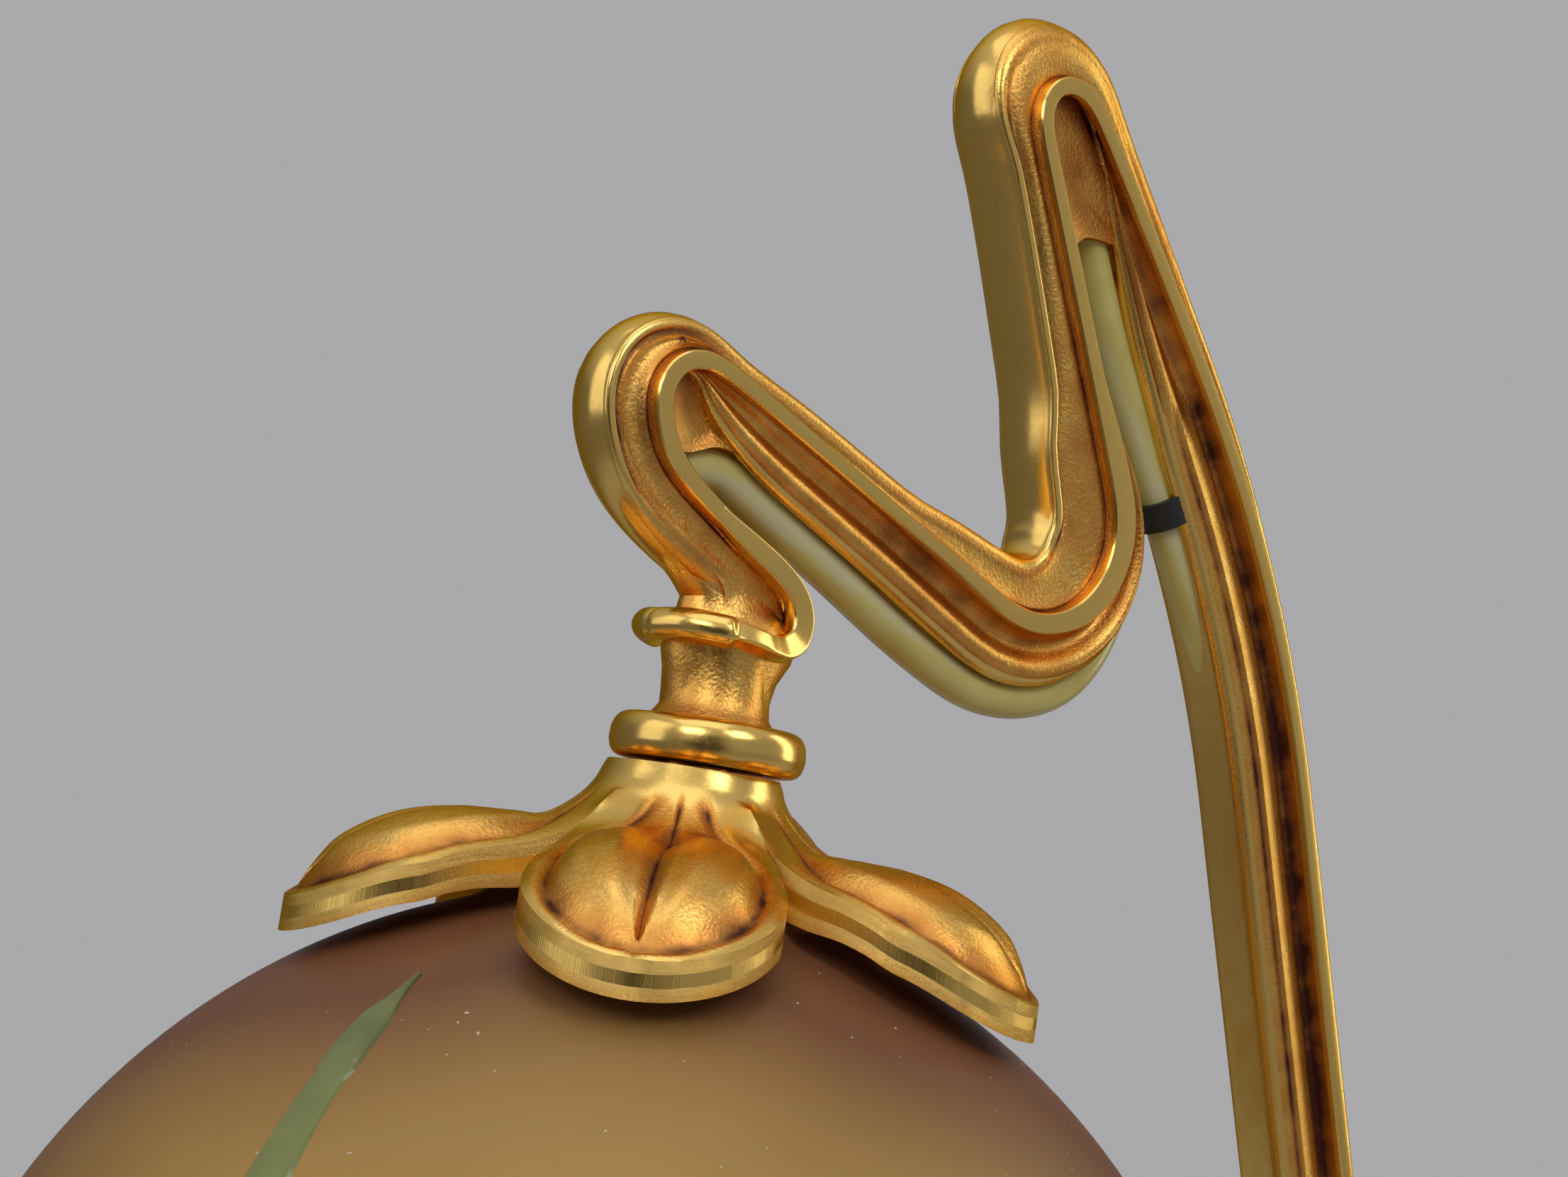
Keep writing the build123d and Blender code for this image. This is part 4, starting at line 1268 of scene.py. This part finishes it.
# Radii of the rows of spots on the cap, and the spots in a row
CAP_ROWS = (*np.linspace(BORE_R, 9.3, 4), *np.linspace(9.6, NOTCH_R, 16))
ROW_SPOTS = 77

# Half of a petal's edge and of the groove inside it: distance from the axis, and across
PETAL_TIP = 41.5
PETAL_EDGE = rounded(
    [
        (12.54, 9.11),
        (15.6, 10.7),
        (20.0, 11.9),
        (25.0, 12.8),
        (29.6, 12.95),
        (34.0, 11.7),
        (37.6, 8.9),
        (40.2, 5.0),
        (41.3, 1.6),
        (PETAL_TIP, 0.0),
        (41.3, -1.6),
    ],
    92,
)
PETAL_EDGE = np.vstack([PETAL_EDGE[PETAL_EDGE[:, 1] > 0.15], (PETAL_TIP, 0.0)])
PETAL_GROOVE = rounded(
    [
        (10.2, 2.5),
        (12.8, 3.3),
        (15.3, 5.0),
        (18.0, 7.6),
        (21.0, 9.3),
        (25.0, 10.2),
        (29.6, 10.5),
        (34.2, 9.7),
        (37.6, 6.9),
        (39.8, 3.2),
        (40.5, 0.0),
    ],
    60,
)

# How far a petal falls along its middle, and how far its rim hangs below that
PETAL_FALL = rounded(
    [
        (CAP_R, 0.0),
        (10.6, 2.4),
        (12.3, 4.6),
        (15.2, 6.8),
        (19.0, 7.9),
        (24.4, 8.2),
        (30.4, 9.5),
        (36.0, 12.7),
        (40.0, 17.2),
        (PETAL_TIP, 19.4),
    ],
    120,
)
PETAL_DROOP = rounded([(CAP_R, 0.0), (12.5, 1.6), (16.0, 2.0), (22.0, 3.3), (29.6, 4.9)], 60)

# Rim round the tip: where it starts, how low it hangs, and its rise over its half width
RIM_START = 29.6
RIM_DROP = 19.4
RIM_RISE = 7.0
RIM_HALF = 13.4

PETAL_THICK = rounded(
    [
        (CAP_R, CAP_THICK),
        (13.0, 6.0),
        (18.0, 4.6),
        (24.0, 3.9),
        (30.0, 3.7),
        (36.0, 3.7),
        (PETAL_TIP, 3.7),
    ],
    60,
)

# Vein along a petal's middle: where it runs, where it stops, its greatest half width and that
# of the crease in it; then half widths of the groove inside the edge and of the stain by it
VEIN_RUN = (14.0, 39.8)
VEIN_STOP = (39.2, 40.4)
VEIN_HALF = 1.5
CREASE_HALF = 0.34
GROOVE_HALF = 0.6
STAIN_HALF = 1.3

# Patina on a petal's cut edges and its underside
CUT_TONE = 0.04
UNDER_TONE = 0.3

# Run of the file marks on the cut edges: its start, its step from row to row, and how far the
# other edge is ahead
FILE_START = 1.0
FILE_STEP = 3.0
FILE_AHEAD = 7.0


def rim_droop(x):
    """How far a petal's rim hangs below its middle: along the sides, then round the tip."""
    side = np.interp(x, PETAL_EDGE[:, 0], PETAL_EDGE[:, 1])
    bowl = RIM_DROP - RIM_RISE * (1 - np.sqrt(1 - (side / RIM_HALF) ** 2))
    round_tip = bowl - np.interp(x, *PETAL_FALL.T)
    along = np.interp(x, *PETAL_DROOP.T)
    return between(along, round_tip, ramp(x, RIM_START - 3.0, RIM_START + 3.0))


def petal_relief(x, y, settings):
    """Height over a petal's smooth face and the patina there."""
    edge = distance_to(PETAL_EDGE, x, y)
    cut = distance_to(PETAL_GROOVE, x, y)
    bound = np.interp(x, PETAL_GROOVE[:, 0], PETAL_GROOVE[:, 1])
    inside = (y < bound) & (x < PETAL_GROOVE[-1, 0])
    groove, pillow = settings.groove / MM, settings.pillow / MM
    out = ramp(x, 10.4, 12.0)
    sunk = groove * out * (0.35 + 0.65 * ramp(x, 14.0, 19.0))
    along = np.clip((x - VEIN_RUN[0]) / (VEIN_RUN[1] - VEIN_RUN[0]), 0, 1)
    vein = 0.3 + VEIN_HALF * np.sin(pi * along) ** 0.7
    stop = 1 - ramp(x, *VEIN_STOP)
    trough = np.clip(1 - (y / vein) ** 2, 0, 1) * stop
    crease = np.exp(-((y / CREASE_HALF) ** 2)) * stop
    ring = np.exp(-((cut / GROOVE_HALF) ** 2))
    lobes = ramp(y, vein - 0.2, vein + 2.6) * ramp(cut, 0.2, 2.6) * inside * ramp(x, 14.5, 20.0)
    height = pillow * lobes - sunk * (0.75 * trough + 0.4 * crease) - 0.8 * sunk * ring
    height = height + 0.3 * (~inside) * ramp(cut, 0.5, 1.6) * ramp(x, 13.0, 18.0)
    frost = inside * ramp(cut, 0.4, 1.2) * ramp(x, 11.0, 15.0)
    flange = (~inside) * (1 - ramp(edge, 0.2, 1.2)) * ramp(x, 14.0, 18.0)
    patina = 0.05 + 0.2 * frost + 0.3 * (~inside) * ramp(x, 14.0, 18.0) - 0.3 * flange
    patina = np.maximum(patina, 0.76 * np.sqrt(trough) * out)
    patina = np.maximum(patina, 0.98 * crease * out)
    patina = np.maximum(patina, 0.7 * np.exp(-((cut / STAIN_HALF) ** 2)) * inside * out)
    return height, np.clip(np.maximum(patina, 0.86 * ring * out), 0, 1)


def petal_rows():
    """Rows of one petal's fifth of the calyx: from the bore out to the notch, then to the tip."""
    half = radians(180 / PETALS)
    across = np.linspace(-1, 1, ROW_SPOTS)
    rows = []
    for r in (BORE_R, *CAP_ROWS):
        rows.append((r * np.cos(half * across), r * np.sin(half * across)))
    outer = PETAL_EDGE[1:]
    for k, (edge_x, edge_y) in enumerate(outer):
        share = (k + 1) / len(outer)
        middle = max(between(NOTCH_R, PETAL_TIP, 1 - (1 - share) ** 1.15), edge_x)
        spread = np.sin(half * across) / sin(half) * (1 - share) + across * share
        rows.append((between(middle, edge_x, across**2), max(edge_y, 0.01) * spread))
    return rows


def petal_loops(settings):
    """Closed loops of spots round a petal's slab, row by row, with their patina and file marks."""
    loops, tones, runs = [], [], []
    for k, (x, y) in enumerate(petal_rows()):
        r = np.hypot(x, y)
        side = np.abs(y)
        width = np.interp(x, PETAL_EDGE[:, 0], PETAL_EDGE[:, 1])
        share = np.clip(side / np.maximum(width, 0.05), 0, 1)
        round_depth = np.where(r < CAP_R, 0.0, np.interp(r, *PETAL_FALL.T))
        leaf_depth = np.interp(x, *PETAL_FALL.T) + rim_droop(x) * share**2.2
        depth = between(round_depth, leaf_depth, ramp(r, 10.0, 17.0))
        relief, tone = petal_relief(x, side, settings)
        relief = relief * ramp(r, 10.0, 12.0)
        thick = np.interp(x, *PETAL_THICK.T)
        slab = between(np.where(r < 13.0, CAP_THICK - depth, thick), thick, ramp(r, CAP_R, 15.0))
        low = depth + np.where(r < CAP_R, CAP_THICK, slab)
        if k == 0:
            depth = low = np.full(len(x), CAP_THICK / 2)
            relief = np.zeros(len(x))
        top = np.stack([x, y, relief - depth], 1)
        wall = np.stack([x, y, -low], 1)
        brink = ((top[-1] * 2 + wall[-1]) / 3, (top[-1] + wall[-1] * 2) / 3)
        start = ((top[0] + wall[0] * 2) / 3, (top[0] * 2 + wall[0]) / 3)
        loops.append(np.vstack([top, brink, wall[::-1], start]))
        under = np.full(len(x), UNDER_TONE)
        tones.append(np.concatenate([tone, [CUT_TONE] * 2, under, [CUT_TONE] * 2]))
        smooth = np.zeros(len(x))
        run = FILE_START + k * FILE_STEP
        runs.append(np.concatenate([smooth, [run] * 2, smooth, [run + FILE_AHEAD] * 2]))
    return np.array(loops), np.array(tones), np.array(runs)


def calyx_body(settings):
    """Whole calyx: petals round the cap, each a slab that is open where it meets the next."""
    loops, tones, runs = petal_loops(settings)
    rows, columns = loops.shape[:2]
    walls = np.zeros(columns, bool)
    walls[ROW_SPOTS - 1 : ROW_SPOTS + 2] = True
    walls[2 * ROW_SPOTS + 1 :] = True
    keep = np.ones((rows - 1, columns), bool)
    keep[: len(CAP_ROWS), walls] = False
    values = {"patina": off_zero(tones), "file_run": runs}
    petals = []
    for turn in range(PETALS):
        place = HEAD @ Matrix.Rotation(radians(FRONT_PETAL + turn * 360 / PETALS), 4, "Z")
        petals.append(lofted(f"petal_{turn}", loops, place, values, keep=keep))
    activate(petals[0])
    for petal in petals[1:]:
        petal.select_set(True)
    bpy.ops.object.join()
    calyx = bpy.context.object
    calyx.name = calyx.data.name = "calyx_gilt"
    tidy(calyx, merge=1.5e-5)
    return calyx


class LAMP_OT_calyx(bpy.types.Operator):
    """Models the calyx with its five drooping petals"""

    bl_idname = "lamp.calyx"
    bl_label = "Calyx"

    def execute(self, context):
        calyx = calyx_body(context.scene.lamp_calyx)
        finished(calyx, "shade", bpy.data.materials["gilt bronze"], ("calyx",))
        return {"FINISHED"}


# Glass shade and its cut stems

# Radii of the shade's waist, neck and mouth, and how far below the calyx top each lies
SHADE_R = 70.5
SHADE_WAIST = 84.0
SHADE_NECK_R = 20.0
SHADE_NECK_TOP = 13.2
SHADE_MOUTH_R = 57.5
SHADE_MOUTH = 139.0

# Chamfer of the neck's top edge, fillet under the neck, and where the rose fades out
NECK_CHAMFER = 0.5
NECK_FILLET = 0.9
ROSE_FADE = (18.0, 46.0)

# Cut stems: how many, where the first one starts round the shade in degrees, how high one starts
# over the waist and how far it runs down in degrees, facets along it, its rise across it as
# shares, and how far its edges and its underside lie in the glass
STEM_COUNT = 2
STEM_START = 197.0
STEM_HIGH = 58
STEM_SWEEP = 62
STEM_FACETS = 5
STEM_RISE = np.array([0.0, 0.55, 0.8, 1.0, 1.05, 1.0, 0.8, 0.55, 0.0])
STEM_EDGE = 0.4
STEM_ROOT = 0.5


def shade_outline(wall):
    """Closed half outline of the shade: neck, outer face down, rim, inner face up."""
    shoulder = SHADE_WAIST - np.sqrt(SHADE_R**2 - SHADE_NECK_R**2)
    start = np.arctan2(SHADE_WAIST - shoulder, SHADE_NECK_R)
    drop = SHADE_MOUTH - SHADE_WAIST
    centre = (SHADE_R**2 - SHADE_MOUTH_R**2 - drop**2) / (2 * (SHADE_R - SHADE_MOUTH_R))
    reach = SHADE_R - centre
    last = np.arctan2(drop, SHADE_MOUTH_R - centre)

    def face(inset):
        ball, bowl = SHADE_R - inset, reach - inset
        spots = [(ball * cos(a), -SHADE_WAIST + ball * sin(a)) for a in np.linspace(start, 0, 40)]
        for a in np.linspace(0, last, 26)[1:]:
            spots.append((centre + bowl * cos(a), -SHADE_WAIST - bowl * sin(a)))
        return spots

    outer, inner = face(0.0), face(wall)
    outer[0] = (SHADE_NECK_R + NECK_FILLET, outer[0][1])
    neck = [
        (SHADE_NECK_R - wall, -SHADE_NECK_TOP - NECK_CHAMFER),
        (SHADE_NECK_R - wall + NECK_CHAMFER, -SHADE_NECK_TOP),
        (SHADE_NECK_R - NECK_CHAMFER, -SHADE_NECK_TOP),
        (SHADE_NECK_R, -SHADE_NECK_TOP - NECK_CHAMFER),
        (SHADE_NECK_R, outer[0][1] + NECK_FILLET),
    ]
    lip = (np.array(outer[-1]) + np.array(inner[-1])) / 2 + np.array([-0.2, -1.2])
    return np.array([*neck, *outer, lip, *inner[::-1]])


def shade_body(settings):
    """The shade, with its rose and amber zones stored round it."""
    shade = turned("shade_glass_satin", shade_outline(settings.wall / MM), HEAD, 160)
    spots = np.empty(len(shade.data.vertices) * 3)
    shade.data.vertices.foreach_get("co", spots)
    flat = placed(spots.reshape(-1, 3), HEAD.inverted())
    angle = np.arctan2(flat[:, 1], flat[:, 0])
    around = 0.5 + 0.5 * np.cos(PETALS * (angle - radians(FRONT_PETAL + 180 / PETALS)))
    high = 1 - ramp(-flat[:, 2], *ROSE_FADE)
    set_values(shade, {"rose": np.clip(0.22 * around * high + 0.5 * high, 0, 1)})
    return shade


def cut_stem(name, angle, settings):
    """One slim polished stem that runs down the shade in stepped facets."""
    rise = settings.stem_rise / MM
    centre = np.array([0, 0, -SHADE_WAIST])
    rows, fall = [], []
    for t in np.linspace(0, 1, 60):
        down = radians(STEM_HIGH - STEM_SWEEP * t)
        lean = radians(angle + 16 * t - 10 * t * t)
        step = (t * STEM_FACETS) % 1
        half = (2.2 + 1.6 * t - 0.9 * t**3) * (1 + 0.16 * (step - 0.5))
        half = half * (0.15 + 0.85 * ramp(t, 0.0, 0.12))
        turn = np.linspace(-1, 1, len(STEM_RISE)) * half / (SHADE_R * max(cos(down), 0.35))
        lift = STEM_RISE * (rise * (0.75 + 0.5 * step))
        reach = SHADE_R + np.where(STEM_RISE > 0, lift, -STEM_EDGE)
        spots = np.stack(
            [
                reach * cos(down) * np.cos(lean + turn),
                reach * cos(down) * np.sin(lean + turn),
                -SHADE_WAIST + reach * sin(down),
            ],
            1,
        )
        under = centre + (spots - centre) * ((SHADE_R - STEM_ROOT) / reach[:, None])
        rows.append(np.vstack([spots, under[::-1]]))
        fall.append(np.full(len(spots) * 2, t))
    fall = np.array([fall[0], *fall, fall[-1]])
    return lofted(name, closed_ends(np.array(rows)), HEAD, {"fall": fall})


class LAMP_OT_shade(bpy.types.Operator):
    """Models the satin glass shade and the green stems cut on it"""

    bl_idname = "lamp.shade"
    bl_label = "Glass Shade"

    def execute(self, context):
        settings = context.scene.lamp_shade
        shade = shade_body(settings)
        finished(shade, "shade", satin_glass(), ("shade_glass",))
        green = cut_glass()
        for k in range(STEM_COUNT):
            name = f"shade_cut_stem_{k + 1}"
            stem = cut_stem(name, STEM_START + k * 360 / STEM_COUNT, settings)
            finished(stem, "shade", green, smooth=radians(20))
        return {"FINISHED"}


# Finishes of the CAD pieces that stay

# Metals: bright and dull tone, roughness and grain, and the pieces of each
METALS = {
    "aged brass": (
        ((0.72, 0.50, 0.20), (0.42, 0.27, 0.10), 0.28),
        (
            "neck_nipple",
            "carrier_nut",
            "holder_cap",
            "holder_shell",
            "socket_sleeve",
            "centre_contact",
            "stem_nut",
            "terminal_screws",
        ),
    ),
    "dark bronze": (((0.16, 0.11, 0.07), (0.06, 0.045, 0.03), 0.42), ("shade_carrier",)),
    "bright steel": (
        ((0.62, 0.62, 0.62), (0.42, 0.42, 0.43), 0.3),
        ("base_cover", "cover_screws", "stem_washer"),
    ),
    "nickel cap": (((0.70, 0.69, 0.66), (0.50, 0.48, 0.44), 0.22), ("bulb_cap",)),
    "solder": (((0.55, 0.55, 0.56), (0.38, 0.38, 0.40), 0.4), ("bulb_tip",)),
    "filament wire": (((0.30, 0.30, 0.32), (0.18, 0.18, 0.2), 0.4), ("bulb_filament",)),
    "cast iron": (((0.14, 0.14, 0.14), (0.08, 0.075, 0.07), 0.6, 700), ("base_ballast",)),
}

# Dull stuffs: light and dark tone, roughness, grain, its depth and sheen, and the pieces of each
DULL_STUFFS = {
    "dark resin": (((0.05, 0.03, 0.025), (0.03, 0.02, 0.018), 0.3, 900, 0.02), ("switch_key",)),
    "porcelain block": (((0.80, 0.78, 0.74), (0.72, 0.70, 0.64), 0.2, 700, 0.02), ("terminal_block",)),
    "porcelain": (((0.82, 0.80, 0.76), (0.74, 0.71, 0.66), 0.2, 700, 0.02), ("holder_insulator",)),
    "cork": (((0.45, 0.30, 0.17), (0.28, 0.17, 0.09), 0.85, 900, 0.2), ("carrier_pad",)),
    "black rubber": (
        ((0.02, 0.02, 0.02), (0.012, 0.012, 0.012), 0.55, 1500, 0.05),
        ("flex_grommet", "cord_outlet_bush"),
    ),
    "green felt": (((0.03, 0.09, 0.05), (0.02, 0.06, 0.035), 0.95, 2600, 0.3, 0.5), ("base_felt",)),
}


def dress(material, names):
    """Gives CAD pieces their finish."""
    for name in names:
        piece = frame["nodes"][name]
        piece.data.materials.clear()
        piece.data.materials.append(material)


class LAMP_OT_fittings(bpy.types.Operator):
    """Gives the lampholder, bulb, foot and fastenings their finishes"""

    bl_idname = "lamp.fittings"
    bl_label = "Fittings"

    def execute(self, context):
        dress(gilt_bronze("gilt foot", FOOT_TARNISH), ("base_foot",))
        dress(bulb_glass(), ("bulb_glass",))
        for make, finishes in ((plain_metal, METALS), (dull_stuff, DULL_STUFFS)):
            for name, (look, pieces) in finishes.items():
                dress(make(name, *look), pieces)
        return {"FINISHED"}


# Stage: floor, light and camera

# Floor in metres: its radius, and where it starts to fade and is gone
FLOOR_R = 1.15
FLOOR_FADE = (0.45, 1.1)

# Surroundings as metal sees them
ROOM_DARK = (0.15, 0.15, 0.155)
ROOM_LIGHT = (0.30, 0.30, 0.305)
ROOM_SKY = (0.50, 0.50, 0.51)
ROOM_GROUND = (0.14, 0.12, 0.10)
ROOM_FRONT = (0.05, 0.045, 0.045)

# Soft boxes: spot and size in metres and power in watts, all aimed at the same goal
LIGHT_GOAL = (-0.03, 0.0, 0.33)
SOFT_BOXES = {
    "left box": ((-0.92, 0.24, 0.78), (0.6, 0.9), 1.4),
    "right box": ((0.90, -0.30, 0.50), (0.3, 0.9), 1.8),
    "top box": ((-0.15, -0.15, 1.2), (0.7, 0.7), 1.15),
    "front left box": ((-0.85, -0.62, 1.05), (0.5, 0.5), 2.6),
    "front right box": ((0.15, -1.0, 1.05), (0.5, 0.5), 2.6),
}

# Camera: where it stands from the calyx top, and the width of its film in millimetres
EYE_FROM_HEAD = (-146.87, -211.33, 17.73)
FILM_WIDTH = 36.0


def floor_material(grey):
    """Pale floor that takes the lamp's shadow and fades into the backdrop."""
    material, tree, shader, where = fresh_material("pale floor")
    cloud = noise(tree, where, 6.0, 4.0)
    light = [min(1.0, c * 1.05) for c in grey]
    tone = mixed(tree, ranged(tree, cloud, 0.3, 0.7, 0.0, 0.4), light, grey)
    fill(tree, shader, {"Base Color": tone, "Roughness": 0.9})
    away = node(tree, "ShaderNodeVectorMath", {0: where}, operation="LENGTH").outputs["Value"]
    fade = ranged(tree, away, *FLOOR_FADE, kind="SMOOTHSTEP")
    clear = node(tree, "ShaderNodeBsdfTransparent")
    inputs = {0: fade, 1: shader.outputs[0], 2: clear.outputs[0]}
    blend = node(tree, "ShaderNodeMixShader", inputs)
    fill(tree, tree.nodes["Material Output"], {"Surface": blend.outputs[0]})
    return material


def backdrop_world(grey):
    """Plain grey for the camera; metal also sees a pale sky, a dark floor and a dark front."""
    world = bpy.data.worlds.new("studio")
    bpy.context.scene.world = world
    world.use_nodes = True
    tree = world.node_tree
    where = node(tree, "ShaderNodeTexCoord").outputs["Generated"]
    height = node(tree, "ShaderNodeSeparateXYZ", {0: where}).outputs["Z"]

    def facing(way, low, high):
        turned_to = {0: where, 1: Vector(way).normalized()}
        dot = node(tree, "ShaderNodeVectorMath", turned_to, operation="DOT_PRODUCT").outputs["Value"]
        return ranged(tree, dot, low, high, kind="SMOOTHSTEP")

    tone = mixed(tree, facing((0.6, -0.8, 0.0), -0.9, 0.9), ROOM_DARK, ROOM_LIGHT)
    tone = mixed(tree, ranged(tree, height, 0.3, 0.85), tone, ROOM_SKY)
    tone = mixed(tree, ranged(tree, height, -0.08, -0.5), tone, ROOM_GROUND)
    tone = mixed(tree, facing((-0.60, -0.80, 0.02), 0.86, 0.97), tone, ROOM_FRONT)
    seen = node(tree, "ShaderNodeLightPath").outputs["Is Camera Ray"]
    fill(tree, tree.nodes["Background"], {"Color": mixed(tree, seen, tone, grey), "Strength": 1.0})


def soft_box(name, spot, size, power):
    """A soft area light that the camera doesn't see."""
    bpy.ops.object.light_add(type="AREA", location=spot)
    lamp = bpy.context.object
    lamp.name = name
    lamp.data.shape = "RECTANGLE"
    lamp.data.size, lamp.data.size_y = size
    lamp.data.energy = power
    lamp.rotation_euler = (Vector(LIGHT_GOAL) - Vector(spot)).to_track_quat("-Z", "Y").to_euler()
    lamp.visible_camera = False


class LAMP_OT_stage(bpy.types.Operator):
    """Sets the floor, the soft light and the camera"""

    bl_idname = "lamp.stage"
    bl_label = "Stage"

    def execute(self, context):
        settings = context.scene.lamp_stage
        scene = context.scene
        scene.view_settings.view_transform = "Standard"
        grey = tuple(settings.grey)
        start_clean()
        bpy.ops.mesh.primitive_circle_add(vertices=96, radius=FLOOR_R, fill_type="NGON")
        floor = context.object
        floor.name = "floor"
        floor.data.materials.append(floor_material(grey))
        backdrop_world(grey)
        for name, (spot, size, power) in SOFT_BOXES.items():
            soft_box(name, spot, size, power)
        camera = bpy.data.cameras.new("camera")
        camera.lens = settings.lens
        camera.sensor_width = FILM_WIDTH
        camera.clip_start = 0.01
        eye = bpy.data.objects.new("camera", camera)
        scene.collection.objects.link(eye)
        ahead = Vector(
            (
                -sin(settings.azimuth) * cos(settings.pitch),
                cos(settings.azimuth) * cos(settings.pitch),
                sin(settings.pitch),
            )
        )
        eye.location = head_spot + Vector(EYE_FROM_HEAD) * MM
        eye.rotation_euler = ahead.to_track_quat("-Z", "Y").to_euler()
        scene.camera = eye
        return {"FINISHED"}


class LAMP_PT_panel(bpy.types.Panel):
    """Lists the lamp's pieces and their sizes"""

    bl_label = "Whiplash Lamp"
    bl_idname = "LAMP_PT_panel"
    bl_space_type = "VIEW_3D"
    bl_region_type = "UI"
    bl_category = "Lamp"

    def draw(self, context):
        for name, operator in STEPS:
            self.layout.operator(operator.bl_idname)
            if name:
                group = getattr(context.scene, name)
                for key in group.__annotations__:
                    self.layout.prop(group, key)


STEPS = (
    ("lamp_whip", LAMP_OT_whip),
    ("", LAMP_OT_lead),
    ("lamp_calyx", LAMP_OT_calyx),
    ("lamp_shade", LAMP_OT_shade),
    ("lamp_finish", LAMP_OT_fittings),
    ("lamp_stage", LAMP_OT_stage),
)
GROUPS = {
    "lamp_finish": FinishSettings,
    "lamp_whip": WhipSettings,
    "lamp_calyx": CalyxSettings,
    "lamp_shade": ShadeSettings,
    "lamp_stage": StageSettings,
}


def register():
    """Registers the property groups, operators and panel."""
    for name, group in GROUPS.items():
        bpy.utils.register_class(group)
        setattr(bpy.types.Scene, name, bpy.props.PointerProperty(type=group))
    for _, operator in STEPS:
        bpy.utils.register_class(operator)
    bpy.utils.register_class(LAMP_PT_panel)


def unregister():
    """Takes the panel, operators and property groups away."""
    bpy.utils.unregister_class(LAMP_PT_panel)
    for _, operator in reversed(STEPS):
        bpy.utils.unregister_class(operator)
    for name, group in reversed(GROUPS.items()):
        delattr(bpy.types.Scene, name)
        bpy.utils.unregister_class(group)


def main():
    """Builds the whole lamp."""
    register()
    grain_group()
    gilt_bronze("gilt bronze")
    bpy.ops.lamp.whip()
    bpy.ops.lamp.lead()
    bpy.ops.lamp.calyx()
    bpy.ops.lamp.shade()
    bpy.ops.lamp.fittings()
    bpy.ops.lamp.stage()


if __name__ == "__main__":
    main()
